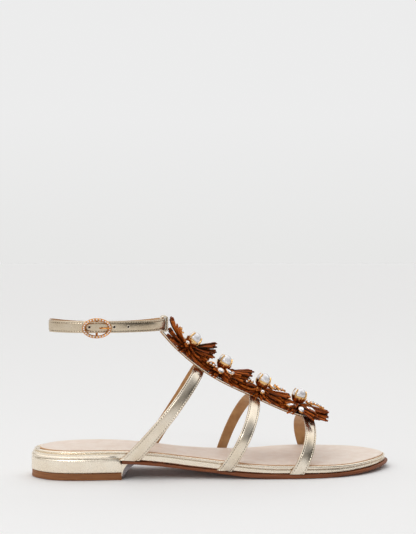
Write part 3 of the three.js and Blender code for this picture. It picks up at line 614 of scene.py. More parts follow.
solePiece("heel_wrapped_block", wrapLeather, "gold_leather", ["heel_block"], 50, [
    (3.0, liftTop + gap), (0.5, liftTop + gap), (0.15, liftTop + 0.6), (0.1, liftTop + 1.2),
    (0.15, 9.0), (0.1, above(blockCeiling, -1.0)), (0.25, above(blockCeiling, -0.35)),
    (0.6, blockCeiling), (0.75, above(blockCeiling, gap + 0.1)),
    (4.0, above(blockCeiling, gap + 0.1)),
], high=heelFrontX)

outsoleStart = heelFrontX + gap
solePiece("outsole_board", soleBrown, "brown_sole", ["outsole"], 50, [
    (3.0, underside), (0.8, underside), (0.25, above(underside, 0.2)),
    (0.0, above(underside, 0.7)), (0.0, above(outsoleTop, -0.6)),
    (0.15, above(outsoleTop, -0.2)), (0.6, outsoleTop), (3.0, outsoleTop),
], low=outsoleStart)


def breastSweep():
    # The thin sole leather that curves down the front of the heel.
    start = toAlong(outsoleStart)
    under = underside(start)
    radius = min(sole["breastRadius"], under - 1.8)

    def curve(*corners):
        # A soft bend through three (forward, height) pairs from the block's front.
        first, middle, last = np.array(corners) + (outsoleStart, 0)
        return [tuple((1 - t) ** 2 * first + 2 * t * (1 - t) * middle + t * t * last)
                for t in np.linspace(0, 1, 14)]

    # A curved cover, with a wrapped wedge between it and the block.
    outer = curve((0.5, 0.8), (2.6, under - 4.2), (radius + 2.2, under + 0.2))
    inner = curve((0.05, 2.4), (0.6, under - 3.0), (4.4, under + 0.2))
    section = outer + inner[::-1]
    back = outsoleStart - gap + 0.02
    wedge = [(back, 2.4), (back, under + 0.2)] + inner[::-1]
    lateral = halfWidth(start, -1) - sole["breastInset"]
    medial = halfWidth(start, 1) - sole["breastInset"]
    for name, material, slotName, outline, beyond in (
            ("heel_breast_cover", paintedGlareSole, "brown_sole", section, 0),
            ("heel_breast_wedge", wrapLeather, "gold_leather", wedge, 0.3)):
        shape = Shape([[Vector((x, y, z)) for x, z in outline]
                       for y in (-lateral - beyond, medial + beyond)])
        fuse(shape.make(name, material, slotName, (), 45))


breastSweep()

midsoleLow = above(outsoleTop, gap)
midsoleHigh = above(edgeBottom, -gap)


def midsoleMiddle(along):
    return (midsoleLow(along) + midsoleHigh(along)) / 2


def drawIn(along):
    # From 0 over the heel to 1 ahead of it.
    start = sole["heelLength"] / sole["length"] - 0.035
    return min(1.0, max(0.0, (along - start) / 0.03))


def beadInset(along):
    return 0.05 + (sole["ledge"] - 0.05) * smooth(drawIn(along))


def grooveInset(along):
    return beadInset(along) + 0.55 * (1 - drawIn(along)) + 0.06


def randInset(along):
    return max(beadInset(along), sole["ledge"] * 0.5)


solePiece("midsole_wrap", wrapLeather, "gold_leather", ["midsole"], 50, [
    (4.0, midsoleLow), (above(beadInset, 0.55), midsoleLow),
    (above(beadInset, 0.15), above(midsoleLow, 0.25)),
    (beadInset, lambda a: midsoleLow(a) * 0.45 + midsoleMiddle(a) * 0.55),
    (above(beadInset, 0.08), above(midsoleMiddle, -0.35)), (grooveInset, midsoleMiddle),
    (above(randInset, 0.08), above(midsoleMiddle, 0.3)),
    (randInset, lambda a: midsoleHigh(a) * 0.5 + midsoleMiddle(a) * 0.5),
    (above(randInset, 0.12), above(midsoleHigh, -0.2)), (above(randInset, 0.6), midsoleHigh),
    (4.0, midsoleHigh),
])

ledge = sole["ledge"]
solePiece("insole_wrapped_edge", wrapLeather, "gold_leather", ["insole_board"], 60, [
    (5.0, above(edgeBottom, -gap)), (ledge + 0.45, above(edgeBottom, -gap)),
    (ledge + 0.4, edgeBottom), (ledge + 0.1, above(edgeBottom, 0.25)),
    (ledge, lambda a: (edgeBottom(a) + edgeTop(a)) / 2),
] + [(ledge + inset, above(edgeTop, rise)) for inset, rise in (
    (0.12, -0.5), (0.4, -0.2), (0.85, -0.05), (1.2, -0.12), (1.5, -0.35), (1.9, -0.6),
    (6.5 - ledge, -0.6))])


def sockInset(along):
    # The sock leather stops short of the back of the heel.
    return sole["sockInset"] + 2.4 * max(0.0, 1 - along / 0.1) ** 2


def sockRings(steps):
    return [(above(sockInset, inset), above(edgeTop, rise)) for inset, rise in steps]


solePiece("insole_sock_backing", tanEdge, "sock_leather", (), 60, [
    (6.0, above(edgeTop, -0.5)), *sockRings([(-0.2, -0.5), (-0.35, -0.1), (-0.25, 0.3)]),
    (6.0, above(edgeTop, 0.32)),
])
solePiece("insole_sock_leather", sockLeather, "sock_leather", ["insole_sock"], 60, sockRings([
    (0.6, 0.25), (0.1, 0.25), (0.0, 0.4), (0.1, 0.52), (0.5, 0.62), (1.2, 0.64), (2.4, 0.65),
]), across=9)
print("sole ready")


strapRows = tableOf(
    "name lateral top medial lean fullness flare",
    ("rear", .262, .458, .315, .15, .03, 1.2),
    ("middle", .514, .612, .528, .1, .09, 1),
    ("front", .706, .764, .806, .35, .02, 1.1))


def outlineNormal(along, side):
    step = 0.012
    widening = halfWidth(along + step, side) - halfWidth(along - step, side)
    return Vector((-widening, side * 2 * step * sole["length"], 0)).normalized()


def strapLeg(row, side, steps=26):
    # From below the foot of the strap up to the bar, as the solids have it.
    start = row["lateral" if side < 0 else "medial"]
    foot, crown = outsoleTop(start), ridgeHeight(row["top"])
    path, normals, widths = [], [], []
    for i in range(-1, steps + 1):
        angle = math.pi / 2 * i / steps
        share = math.sin(angle)
        level = max(0.0, share)
        drift = share + row["lean"] * share * (1 - share)
        along = start + (row["top"] - start) * drift
        reach = halfWidth(along, side) - ledge + gap
        girth = reach * math.sqrt(1 - level * level)
        girth += row["fullness"] * sole["ballWidth"] * 4 * level * (1 - level)
        path.append(Vector((toX(along), side * girth, foot + (crown - foot) * share)))
        outward = outlineNormal(along, side) * (math.cos(angle) + 0.02)
        normals.append((outward + ridgeNormal(row["top"]) * level ** 1.5).normalized())
        flare = row["flare"] + (1 - row["flare"]) * min(1.0, level * 1.5)
        widths.append(upper["width"] * flare)
    return path, normals, widths


def settle(points):
    # Nothing of a strap's foot goes below the ledge that it stands on.
    for i, (x, y, z) in enumerate(points):
        points[i] = (x, y, max(z, outsoleTop(toAlong(x)) + gap))


def makeStrap(name, path, normals, widths, wall, face, nodes, legs, offset, onSole=False):
    # A foil face, a tan lining, and a row of stitches along both edges.
    leather, inside, stitches = Shape(), Shape(), Shape()
    frames = sweep(leather, path, normals, [leatherSection(w, wall) for w in widths])
    sweep(inside, path, normals, [liningSection(w) for w in widths])
    if onSole:
        settle(leather.points)
        settle(inside.points)
    for sign in (-1, 1):
        for leg in legs:
            stitchRow(stitches, frames[leg], sign * offset, wall - 0.2)
    leather.make(f"{name}_leather", face, "gold_leather", nodes, 60)
    inside.make(f"{name}_lining", lining, "sock_leather", (), 50)
    stitches.make(f"{name}_stitches", thread, "sock_leather", ())


# The parts of a strap that carry stitches; on the cross straps the flowers hide the rest.
wholeStrap = [slice(None)]
bothLegs = [slice(1, 24), slice(-24, -1)]

# The stitches keep the width that a leg has a third of the way up.
for row in strapRows:
    near, far = strapLeg(row, -1), strapLeg(row, 1)
    path, normals, widths = (a + b[-2::-1] for a, b in zip(near, far))
    makeStrap(f"{row['name']}_strap", path, normals, widths, upper["wall"], goldLeather,
              ["upper_straps"] if row["name"] == "rear" else [], bothLegs,
              widths[10] / 2 - stitch["inset"], onSole=True)

stations = np.linspace(ridgeRows[0][0] + 0.002, ridgeRows[-1][0], 60)
makeStrap("instep_bar", [Vector((toX(a), 0, ridgeHeight(a))) for a in stations],
          [ridgeNormal(a) for a in stations], [upper["barWidth"]] * len(stations),
          upper["barWall"], goldLeather, (), wholeStrap, upper["barWidth"] / 2 - stitch["inset"])

strapLoop = {"room": .6, "wall": 1.1, "corner": .9}


def loopRing():
    # The bar's end, folded round the ankle strap.
    room, wall, corner = strapLoop["room"], strapLoop["wall"], strapLoop["corner"]
    halfX, halfZ = ankle["wall"] / 2 + room, ankle["width"] / 2 + room
    centre = Vector((ankle["front"] + ankle["wall"] / 2, 0, ankle["height"]))
    path, normals = [], []
    for quarter, (sx, sz) in enumerate(((1, 1), (-1, 1), (-1, -1), (1, -1))):
        for k in range(7):
            turn = math.pi / 2 * (quarter + k / 6)
            out = Vector((math.cos(turn), 0, math.sin(turn)))
            base = Vector((sx * (halfX - corner), 0, sz * (halfZ - corner)))
            path.append(centre + base + out * corner)
            normals.append(out)
    h = upper["barWidth"] / 2
    half = [(h, 0.2), (h, wall - 0.3), (h - 0.3, wall), (h - 0.8, wall), (h - 1.05, wall - 0.16),
            (h - 1.3, wall)]
    section = [(-u, v) for u, v in half] + half[::-1] + [(h - 0.2, 0.0), (-h + 0.2, 0.0)]
    return Shape([[point + Vector((0, 1, 0)) * u + normal * v for u, v in section]
                  for point, normal in zip(path, normals)], closed=True)


fuse(loopRing().make("ankle_strap_loop", goldLeather, "gold_leather", (), 50))
print("upper ready")


def anklePoint(turn, lift):
    # A point of the strap's squarish oval; the inner side dips a little.
    angle = turn * math.tau
    half = ankle["length"] / 2
    cos, sin = math.cos(angle), math.sin(angle)
    power = 2 / ankle["squareness"]
    x = math.copysign(abs(cos) ** power, cos) * (half + lift)
    y = math.copysign(abs(sin) ** power, sin) * (ankle["halfWidth"] + lift)
    dip = ankle["dip"] * max(0.0, y / ankle["halfWidth"]) ** 2
    return Vector((ankle["front"] - half + x, y, ankle["height"] - dip))


def turnAtX(x):
    # The turn, on the outer side, at which the oval reaches an X value.
    low, high = 0.5, 1.0
    for _ in range(30):
        middle = (low + high) / 2
        if anklePoint(middle, 0).x < x:
            low = middle
        else:
            high = middle
    return (low + high) / 2


risesAt = turnAtX(buckle["x"] + ankle["liftStart"])
risenAt = turnAtX(buckle["x"] + ankle["liftEnd"])


def raisedPoint(turn, ahead=0.0):
    # The free end rises until it lies over the buckle's bar.
    lift = ankle["lift"] * smooth((risesAt - turn) / (risesAt - risenAt))
    return anklePoint(turn + ahead, lift)


def anklePath(spacing=1.1):
    barTurn = turnAtX(buckle["x"] - buckle["bar"] - gap)
    tailTurn = turnAtX(buckle["x"] - ankle["tail"])
    travel = barTurn + 1 - tailTurn
    fine = 4000
    path = []
    for i in range(fine + 1):
        turn = barTurn - travel * i / fine
        point = raisedPoint(turn + 1) if turn < 0 else anklePoint(turn, 0)
        if not path or (point - path[-1]).length > spacing:
            path.append(point)
    normals = []
    for i in range(len(path)):
        tangent = path[min(i + 1, len(path) - 1)] - path[max(i - 1, 0)]
        tangent.z = 0
        tangent.normalize()
        normals.append(Vector((-tangent.y, tangent.x, 0)))
    return path, normals


path, normals = anklePath()
makeStrap("ankle_strap", path, normals, [ankle["width"]] * len(path), ankle["wall"], shadedStrapFoil,
          ["ankle_strap"], wholeStrap, ankle["width"] / 2 - 1.05)


# Places ahead of the buckle, and the rings of a rim and of a hole: radius and height.
holes = {
    "places": (-3.8, 11.1, 19.8),
    "rim": ((.74, -.1), (.78, .05), (.9, .1), (1.1, .04), (1.25, -.15)),
    "pit": ((.78, .02), (.5, 0), (.1, -.02)),
}


def punchedHoles():
    # Holes along the strap beside the buckle, each with a rim pressed into the foil; each hole is
    # a flat disc painted dark as its shade.
    rims, pits = Shape(), Shape()
    for forward in holes["places"]:
        turn = turnAtX(buckle["x"] + forward)
        point = raisedPoint(turn)
        tangent = (raisedPoint(turn, 0.002) - point).normalized()
        outward = Vector((tangent.y, -tangent.x, 0))
        face = point + outward * (ankle["wall"] + 0.16)
        ring = [around(tangent, Vector((0, 0, 1)), angle) for angle in turns(20)]
        rims.rings([[face + d * r + outward * h for d in ring] for r, h in holes["rim"]],
                   caps=False)
        pits.rings([[face + d * r + outward * h for d in ring] for r, h in holes["pit"]])
    rims.make("ankle_strap_hole_rims", goldLeather, "gold_leather", ())
    pits.make("ankle_strap_holes", holeShadeAndEdge, "sock_leather", ())


punchedHoles()
print("ankle strap ready")


rimY = -(ankle["halfWidth"] + ankle["lift"] + ankle["wall"] + gap) - buckle["depth"] / 2
buckleCentre = Vector((buckle["x"], rimY, buckle["z"]))


def ovalPoint(angle, out):
    # out runs from 0 at the inner edge of the rim to 1 at its outer edge.
    a = buckle["halfLength"] - buckle["rim"] * (1 - out)
    b = buckle["halfHeight"] - buckle["rim"] * (1 - out) * 0.8
    return Vector((math.cos(angle) * a, 0, math.sin(angle) * b))


def rimShape():
    section = [(0.04, 0.35), (0.0, 0.0), (0.04, -0.3), (0.2, -0.48), (0.3, -0.4), (0.5, -0.34),
               (0.7, -0.4), (0.8, -0.48), (0.96, -0.3), (1.0, 0.0), (0.96, 0.35), (0.8, 0.5),
               (0.2, 0.5)]
    return Shape([[buckleCentre + ovalPoint(angle, out) + Vector((0, buckle["depth"] * y, 0))
                   for out, y in section] for angle in turns(72)], closed=True)


def smoothCurve(points, steps=6):
    # A smooth line through the points.
    line = []
    ends = [points[0] * 2 - points[1]] + points + [points[-1] * 2 - points[-2]]
    for i in range(1, len(ends) - 2):
        a, b, c, d = ends[i - 1:i + 3]
        for k in range(steps):
            t = k / steps
            line.append(0.5 * (2 * b + (c - a) * t + (2 * a - 5 * b + 4 * c - d) * t * t
                               + (3 * b - a - 3 * c + d) * t ** 3))
    line.append(points[-1])
    return line


def rod(shape, points, radius, taper=1.0, side=Vector((0, 0, 1))):
    # A round wire with eased ends.
    line = smoothCurve(points)
    sections = []
    for i in range(len(line)):
        share = i / (len(line) - 1)
        r = radius * (1 + (taper - 1) * share)
        if i in (0, len(line) - 1):
            r *= 0.7
        sections.append([(r * math.cos(a), r * math.sin(a)) for a in turns(12)])
    sweep(shape, line, [side] * len(line), sections)


barY = -(ankle["halfWidth"] + ankle["wall"] / 2)
stub = buckle["halfHeight"] - buckle["rim"] * 0.4
rim = rimShape()
rod(rim, [Vector((buckle["x"], y, buckle["z"] + z)) for y, z in (
    (rimY, stub), (barY - 1.6, stub - 0.2), (barY, stub - 1.4), (barY, 0.0),
    (barY, 1.4 - stub), (barY - 1.6, 0.2 - stub), (rimY, -stub))], buckle["bar"],
    side=Vector((1, 0, 0)))
fuse(rim.make("buckle_oval_frame", roseGold, "buckle_metal", ["buckle_frame"], 60))

overRim = rimY - buckle["depth"] / 2 - gap - buckle["prong"]
reach = buckle["halfLength"] - buckle["rim"] / 2
prongShape = Shape()
rod(prongShape, [Vector((buckle["x"] + x, y, buckle["z"])) for x, y in (
    (1.7, barY), (2.0, barY - 1.5), (2.0, barY - 3.4), (3.6, overRim + 0.9),
    (reach - 1.8, overRim), (reach + 0.8, overRim))], buckle["prong"], taper=0.85)
prongShape.make("buckle_pin", roseGold, "buckle_metal", ["buckle_prong"])


def stoneAxes(facing, heading):
    across = facing.cross(heading).normalized()
    return across.cross(facing).normalized(), across


def girdle(angle, pinch):
    # A stone's outline, as shares of its length and width; pinch draws its ends to points.
    along = math.cos(angle)
    return along, math.sin(angle) * (1 - pinch * abs(along) ** 1.5)


def gem(shape, centre, facing, heading, length, width, height, pinch=0.0, sides=8):
    # A cut stone: table, two tiers of crown facets and a short pavilion.
    heading, across = stoneAxes(facing, heading)

    def tier(scale, level, turn):
        outline = [girdle(math.tau * (k + turn) / sides, pinch) for k in range(sides)]
        return [centre + heading * (c * length / 2 * scale) + across * (s * width / 2 * scale)
                + facing * (level * height) for c, s in outline]

    shape.rings([tier(0.25, -0.45, 0), tier(1.0, 0.0, 0), tier(0.84, 0.3, 0.5),
                 tier(0.52, 0.5, 0)])


def bezel(shape, centre, facing, heading, length, width, height, pinch, wall, sides=20):
    # A raised metal rim round a stone.
    heading, across = stoneAxes(facing, heading)
    rings = []
    for angle in turns(sides):
        c, s = girdle(angle, pinch)
        out = heading * (c * length) + across * (s * width)
        direction = out.normalized()
        edge = centre + out / 2
        rings.append([edge + direction * o + facing * h for o, h in (
            (-0.05, -height), (-0.08, 0.12 * height), (wall * 0.45, 0.3 * height),
            (wall, 0.1 * height), (wall, -height))])
    shape.rings(rings, closed=True)


rimStones = Shape()
rimStone = {"count": 26, "size": 1.25, "height": .9, "forward": .38}
for k in range(rimStone["count"]):
    centre = buckleCentre + ovalPoint(math.tau * (k + 0.5) / rimStone["count"], 0.5)
    centre.y -= buckle["depth"] * rimStone["forward"]
    gem(rimStones, centre, Vector((0, -1, 0)), Vector((1, 0, 0)), rimStone["size"],
        rimStone["size"], rimStone["height"])
rimStones.make("buckle_crystals", crystal, "crystal", (), 0)
print("buckle ready")


flowerReach = 22.0
tipRise = 10.0
flowerRows = tableOf(
    "along behind front behindRise bundle bundleRise fan side cut",
    (.41, 1.06, .84, .5, .16, 1.5, .6, .6, .28),
    (.506, .8, .86, 0, .2, 1.0, .55, .85, 0),
    (.619, .84, .82, 0, .24, .5, .55, .6, 0),
    (.73, .8, 1.1, 0, 0, .15, .5, 1.1, 0))
petalLayers = tableOf(
    "name reach sideLift endLift spread across bundle",
    ("lower", 1.0, -.4, -.05, .02, 1.0, 0.0),
    ("middle", .98, -.3, .03, .45, .84, .5),
    ("upper", .95, -.1, .1, 1.3, .66, 1.0))
# Bundles of one layer: direction in degrees, strips side by side, share of the reach
petalBundles = [(0, 5, 1.0)] + [(side * degrees, count, share) for degrees, count, share in (
    (12, 4, 1.04), (25, 4, 1.0), (42, 4, .86), (66, 3, 0), (114, 3, 0), (138, 4, .86),
    (155, 4, 1.0), (168, 4, 1.04)) for side in (1, -1)] + [(180, 5, 1.0)]
petalFloor = upper["barWall"] + 0.6
petalPitch = 1.4
stackTop = petalFloor + 3 * petalPitch
pearlHeight = 13.9
pearlRadius = 5.0
# One strip of straw. The strips of a raised bundle are broader; near the bar's edges a strip
# is rolled by up to "mostRoll", and "arches" are the humps of the three layers at the pearl.
straw = {
    "start": 2.0, "steps": 10, "width": (1.55, 1.95), "thick": (1.0, 1.3),
    "raisedWidth": (1.9, 2.3), "raisedThick": (1.2, 1.5), "lift": .5, "floor": (-.3, .5),
    "curl": .5, "roll": .3, "mostRoll": 1.3, "rollReach": 6.5, "arches": (.3, .8, 1.3),
    "tone": (-.24, .26),
}


def bentPlace(flower, forward, sideways, height):
    # Over the bar: forward along it, sideways, and a height off its underside.
    slope = ridgeNormal(flower["along"]).z
    along = flower["along"] + forward * slope / sole["length"]
    base = Vector((toX(along), sideways, ridgeHeight(along)))
    return base + ridgeNormal(along) * height


def flowerAxes(flower):
    normal = ridgeNormal(flower["along"])
    tangent = Vector((normal.z, 0, -normal.x))
    origin = Vector((toX(flower["along"]), 0, ridgeHeight(flower["along"])))
    return origin, tangent, Vector((0, 1, 0)), normal


loopFace = ankle["front"] + ankle["wall"] + 1.7


def strip(shape, flower, layer, level, angle, offset, share, rise):
    # One flat straw strip from near the pearl out to its tip.
    forward, sideways = math.cos(angle), math.sin(angle)
    upwards = ridgeNormal(flower["along"])
    bundle = flower["bundle"] * layer["bundle"]
    reach = (flower["front"] if forward > 0 else flower["behind"]) * layer["reach"]
    length = share * (reach + bundle * max(0.0, forward) ** 3) * flowerReach
    sideLift = layer["sideLift"] * (1.0 if forward < 0.1 else 0.35)
    lift = sideLift + (layer["endLift"] - sideLift) * min(1.0, abs(forward) * 1.6)
    risen = flower["bundleRise"] * layer["bundle"] * max(0.0, forward) ** 6 * rise
    lift += risen
    lift += flower["behindRise"] * layer["spread"] * max(0.0, -forward) ** 2 * (0.7 + 0.3 * rise)
    lift = lift * tipRise + draw.uniform(-straw["lift"], straw["lift"])
    floor = petalFloor + level * petalPitch + draw.uniform(*straw["floor"])
    if forward < 0:
        room = toX(flower["along"]) + upwards.x * (floor + lift) - loopFace - 0.6
        length = min(length, room / (upwards.z * max(0.01, -forward)) * draw.uniform(0.93, 1))
    raised = forward > 0.9 and layer["bundle"] > 0
    if raised:
        length *= 1 - flower["cut"] * max(0.0, rise - 0.6) / 0.4
    width = draw.uniform(*straw["raisedWidth" if raised else "width"])
    thick = draw.uniform(*straw["raisedThick" if raised else "thick"])
    curl = draw.uniform(-straw["curl"], straw["curl"])
    roll = draw.uniform(-straw["roll"], straw["roll"])
    wave = draw.uniform(0, math.tau)
    path, normals, sections = [], [], []
    for k in range(straw["steps"] + 1):
        t = k / straw["steps"]
        distance = straw["start"] + (length - straw["start"]) * t
        slide = offset * (0.75 + 0.25 * t) + curl * t * t + 0.12 * math.sin(wave + 7 * t)
        f = forward * distance - sideways * slide
        s = sideways * distance + forward * slide
        arch = 0.7 * math.sin(math.pi * min(1.0, t * 1.25)) + 0.1 * math.sin(wave * 2 + 9 * t)
        arch += straw["arches"][level] * math.sin(math.pi * min(1.0, t * 2.5))
        lifted = (lift - risen * tipRise) * t ** 1.6 + risen * tipRise * t ** 0.85
        path.append(bentPlace(flower, f, s, floor) + upwards * (arch + lifted))
        # Strips beside the bar are rolled over its edges, so that the band looks round.
        over = max(-straw["mostRoll"], min(straw["mostRoll"], s / straw["rollReach"])) + roll
        normals.append((upwards + Vector((0, over, 0))).normalized())
        w = width / 2 * (0.82 + 0.18 * math.sin(math.pi * min(1.0, 0.2 + t)))
        h = thick
        if k == straw["steps"]:
            w, h = w * 0.8, h * 0.75
        sections.append([(-w, h * 0.3), (-w * 0.93, h * 0.75), (-w * 0.6, h), (0, h * 0.82),
                         (w * 0.6, h), (w * 0.93, h * 0.75), (w, h * 0.3), (w * 0.6, 0.02),
                         (0, 0.12), (-w * 0.6, 0.02)])
    sweep(shape, path, normals, sections, tone=draw.uniform(*straw["tone"]))


def petalStrips(flower, layer, level):
    # Bundles of strips, side by side, in all directions from the pearl.
    shape = Shape()
    for degrees, count, share in petalBundles:
        onBar = 0 if abs(degrees) < 90 else math.copysign(180, degrees)
        across = 1.0 if share == 0 else layer["across"]
        angle = math.radians(onBar + (degrees - onBar) * across)
        for k in range(count):
            beside = k - (count - 1) / 2
            rise = 1 - flower["fan"] * (k * 2 % 5) / 4
            strip(shape, flower, layer, level, angle + draw.uniform(-0.03, 0.03) + beside * 0.04,
                  beside * 1.7 * layer["across"] + draw.uniform(-0.25, 0.25),
                  (share or flower["side"]) * draw.uniform(0.9, 1.0), rise)
    return shape


# The cup's section, as shares of its radius, and its claws.
cup = {
    "play": .3, "footRise": 1.4, "claws": 4, "clawWidth": .62, "clawPoints": 9,
    "section": ((.55, -1.02), (.78, -.84), (.96, -.56), (1.05, -.3), (1.06, -.16), (1, -.16),
                (.96, -.3), (.7, -.74)),
}


def pearlCup(flower):
    origin, tangent, side, normal = flowerAxes(flower)
    radius = pearlRadius + cup["play"]
    profile = [(0.05, stackTop + cup["footRise"])]
    profile += [(radius * r, pearlHeight + radius * h) for r, h in cup["section"]]
    profile.append((0.05, pearlHeight - radius * 1.02))
    shape = Shape([[origin + around(tangent, side, angle) * r + normal * h for r, h in profile]
                   for angle in turns(36)], closed=True)
    for turn in turns(cup["claws"]):
        outward = around(tangent, side, turn + math.pi / cup["claws"])
        path, normals, sections = [], [], []
        for k in range(cup["clawPoints"]):
            polar = math.pi * (0.64 - 0.37 * k / (cup["clawPoints"] - 1))
            out = around(normal, outward, polar)
            path.append(origin + normal * pearlHeight + out * (radius * 0.99))
            normals.append(out)
            w = cup["clawWidth"] * (1 - 0.05 * k)
            sections.append([(-w, 0), (-w, 0.4), (-w * 0.5, 0.75), (w * 0.5, 0.75), (w, 0.4),
                             (w, 0)])
        sweep(shape, path, normals, sections)
    return shape


def pearlBall(flower):
    origin, tangent, side, normal = flowerAxes(flower)
    centre = origin + normal * pearlHeight
    return Shape([[centre + around(normal, around(tangent, side, angle), math.pi * i / 32)
                   * pearlRadius for angle in turns(48)] for i in range(1, 32)])


# Stones of each flower: forward, sideways, height and size; a long stone has its width,
# heading in degrees and pinch after its length.
stoneTables = [
    [(-7.5, -4.6, 8.8, 4.4, 2.7, 200, .75), (-7.5, 4.6, 8.8, 4.4, 2.7, 160, .75),
     (-11.0, -2.4, 11.4, 2.4), (-13.6, -1.8, 12.6, 2.2), (-12.5, 2.4, 12.0, 2.2),
     (-3.4, -7.2, 8.6, 3.0), (5.2, 6.8, 8.0, 4.4, 2.7, 50, .75), (-2.0, 7.4, 8.2, 2.8)],
    [(-12.4, -7.2, 7.2, 2.1), (-10.1, -7.6, 7.2, 2.1), (-7.8, -8.0, 7.2, 2.1),
     (-5.5, -8.4, 7.2, 2.1), (-1.6, -10.2, 7.0, 4.8), (4.8, -8.6, 8.8, 6.4, 3.3, -20, .75),
     (8.0, -7.4, 9.2, 2.4), (-7.0, 7.0, 8.0, 4.2, 2.6, 150, .75),
     (6.4, 7.4, 8.6, 4.6, 2.6, 18, .75), (0.0, 9.6, 7.4, 3.2)],
    [(-11.0, -6.2, 9.8, 2.2), (-8.6, -6.8, 9.8, 2.4), (7.2, -4.6, 12.2, 5.4, 3.2, -12, .75),
     (12.2, -4.8, 13.4, 4.8, 3.2, 0, .75), (15.6, -3.6, 13.4, 2.8), (9.8, -1.6, 13.9, 2.8),
     (7.2, 4.6, 11.4, 5.2, 3.0, 12, .75), (12.2, 4.8, 12.2, 4.4, 2.8, 0, .75),
     (-6.4, 7.0, 8.4, 4.4, 2.6, 140, .75), (.6, -9.4, 6.4, 2.8), (1.0, 9.4, 7.0, 3.0)],
    [(-6.4, -10.4, 5.8, 7.6, 3.9, 188, .75), (1.6, -11.4, 5.2, 5.6, 5.2, -80, .15),
     (8.4, -9.2, 6.8, 8.0, 3.7, -10, .75), (6.8, -4.8, 10.9, 3.2), (9.5, -5.0, 11.1, 3.0),
     (12.2, -5.2, 10.9, 2.8), (14.8, -5.3, 10.6, 2.7), (17.2, -5.3, 10.1, 2.4),
     (9.4, 3.6, 9.6, 5.2, 2.8, 8, .75), (-6.0, 8.0, 7.4, 5.0, 2.8, 140, .75),
     (2.0, 10.2, 6.6, 3.4)],
]


# A stone's height and lift, its rim, and the lobed plate below.
spray = {
    "height": 1.6, "lift": .4, "rimHeight": .9, "small": 2.7, "smallRim": .16, "rim": .34,
    "plate": 5.4, "wave": .5, "lobes": 6,
}


def setStones(flower, table):
    stones, settings = Shape(), Shape()
    origin, tangent, side, normal = flowerAxes(flower)
    for forward, sideways, height, length, *shaped in table:
        width, heading, pinch = shaped or (length, 0, 0)
        centre = bentPlace(flower, forward, sideways, height + spray["lift"])
        lean = math.hypot(forward, sideways)
        facing = (normal + side * (sideways / lean * 0.75) + tangent * (forward / lean * 0.2))
        facing.normalize()
        along = around(tangent, side, math.radians(heading))
        gem(stones, centre, facing, along, length, width, spray["height"], pinch,
            12 if pinch else 10)
        bezel(settings, centre, facing, along, length, width, spray["rimHeight"], pinch,
              spray["smallRim" if length < spray["small"] else "rim"])
    # A filigree plate joins the settings to the foot of the cup.
    rings = []
    for angle in turns(40):
        r = spray["plate"] + spray["wave"] * math.cos(spray["lobes"] * angle)
        rings.append([origin + around(tangent, side, angle) * q + normal * (stackTop + z)
                      for q, z in ((0.5, 0.0), (r - 0.3, 0.0), (r, 0.5), (r - 0.4, 1.0),
                                   (0.5, 1.1))])
    settings.rings(rings, closed=True)
    return stones, settings


for number, (flower, table) in enumerate(zip(flowerRows, stoneTables), 1):
    for level, layer in enumerate(petalLayers):
        petalStrips(flower, layer, level).make(
            f"raffia_{layer['name']}_{number}", raffia, "raffia",
            [f"petals_{layer['name']}_{number}"], 50, strips=True)
    pearlCup(flower).make(f"pearl_setting_{number}", settingGold, "setting_metal",
                          [f"pearl_cup_{number}"], 50)
    pearlBall(flower).make(f"pearl_ball_{number}", pearlWhite, "pearl", [f"pearl_{number}"])
    stones, settings = setStones(flower, table)
    stones.make(f"crystals_{number}", crystal, "crystal", [f"crystal_spray_{number}"], 0)
    settings.make(f"crystal_settings_{number}", roseGold, "buckle_metal", (), 50)
print("flowers ready")


# Matt seamless paper: it takes soft shadows and no shine.
paperWhite = finish("seamless studio paper", (700, 3, 0.55),
                    [(0.3, "#F2F2F2"), (0.7, "#F4F4F4")], 0.95, 0.00005, 0.3)
floorMesh = bpy.data.meshes.new("studio_floor")
extent = 30.0
floorMesh.from_pydata([(-extent, -extent, 0), (extent, -extent, 0), (extent, extent, 0),
                       (-extent, extent, 0)], [], [(0, 1, 2, 3)])
floorMesh.materials.append(paperWhite)
floor = bpy.data.objects.new("studio_floor", floorMesh)
floor.location.z = -0.0002  # so that it doesn't share the sole's plane
bpy.context.scene.collection.objects.link(floor)


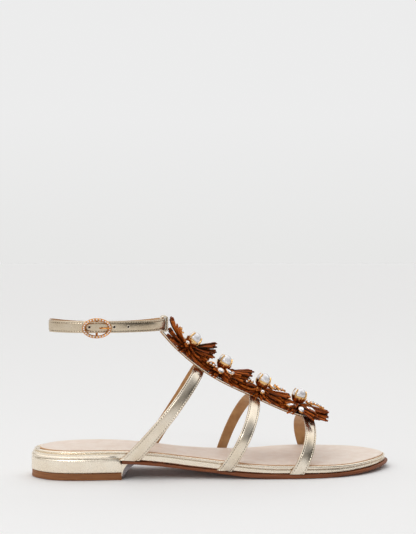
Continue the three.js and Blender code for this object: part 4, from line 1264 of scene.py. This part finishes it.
def softSky():
    # A pale tent: bright overhead, a dim gap between the tent and the top light, and one dark
    # flag to the toe's side, which draws the long shades in the foil.
    world = bpy.data.worlds.new("studio tent")
    world.use_nodes = True
    bpy.context.scene.world = world
    tree = world.node_tree
    direction = addNode(tree, "ShaderNodeTexCoord").outputs["Generated"]
    height = addNode(tree, "ShaderNodeSeparateXYZ", Vector=direction).outputs["Z"]
    dimmed = addNode(tree, "ShaderNodeValToRGB", Fac=height, stops=[
        (0.0, "#DADADA"), (0.3, "#DADADA"), (0.38, "#8A8074"), (0.46, "#8F877C"),
        (0.56, "#FFFFFF"), (1.0, "#FFFFFF")])
    # The dark flag, and the unlit side of the room behind the photographer.
    for towards, start, full, left in (((0.82, -0.55, 0.1), 0.8, 0.93, 0.12),
                                       ((0.3, -0.65, 0.7), 0.82, 0.95, 0.3)):
        facing = addNode(tree, "ShaderNodeVectorMath", {"operation": "DOT_PRODUCT"}, n0=direction,
                         n1=Vector(towards).normalized()).outputs["Value"]
        shade = addNode(tree, "ShaderNodeValToRGB", stops=[(start, 1.0), (full, left)],
                        Fac=facing)
        dimmed = addNode(tree, "ShaderNodeMix", {"data_type": "RGBA", "blend_type": "MULTIPLY"},
                         n0=1.0, n6=dimmed, n7=shade).outputs[2]
    # What the camera sees past the floor is plain paper, in one tone with it.
    paper = addNode(tree, "ShaderNodeValToRGB", stops=[(0.0, "#D5D5D4"), (0.14, "#DADADA")],
                    Fac=height)
    seen = addNode(tree, "ShaderNodeLightPath").outputs["Is Camera Ray"]
    shown = addNode(tree, "ShaderNodeMix", {"data_type": "RGBA"}, n0=seen, n6=dimmed,
                    n7=paper).outputs[2]
    connect(tree, tree.nodes["Background"], Color=shown, Strength=1.2)


softSky()
bpy.context.scene.view_settings.view_transform = "Standard"


def areaLight(name, location, target, size, power):
    light = bpy.data.lights.new(name, "AREA")
    light.shape = "RECTANGLE"
    light.size, light.size_y = size
    light.energy = power
    lamp = bpy.data.objects.new(name, light)
    lamp.location = location
    aim = Vector(target) - Vector(location)
    lamp.rotation_euler = aim.to_track_quat("-Z", "Y").to_euler()
    bpy.context.scene.collection.objects.link(lamp)


areaLight("overhead_softbox", (0.05, -0.25, 1.3), (0.09, 0, 0.03), (1.2, 0.9), 0.7)
areaLight("strip_light", (-0.35, -0.7, 0.75), (0.08, 0, 0.05), (0.5, 0.05), 0.8)

# The camera that was fitted to the sole's lines in the photo.
view = {"lens": 65.66, "sensor": 36.0, "eye": (-0.00306, -0.6729, 0.14719),
        "heading": (0.1345, 0.9909), "downDegrees": 0.488}
camera = bpy.data.cameras.new("camera")
camera.sensor_width = view["sensor"]
camera.lens = view["lens"]
camera.clip_start = 0.02
camera.clip_end = 200.0
eye = bpy.data.objects.new("camera", camera)
eye.location = view["eye"]
down = math.radians(view["downDegrees"])
look = Vector([c * math.cos(down) for c in view["heading"]] + [-math.sin(down)])
eye.rotation_euler = look.to_track_quat("-Z", "Y").to_euler()
bpy.context.scene.collection.objects.link(eye)
bpy.context.scene.camera = eye
print("studio ready")
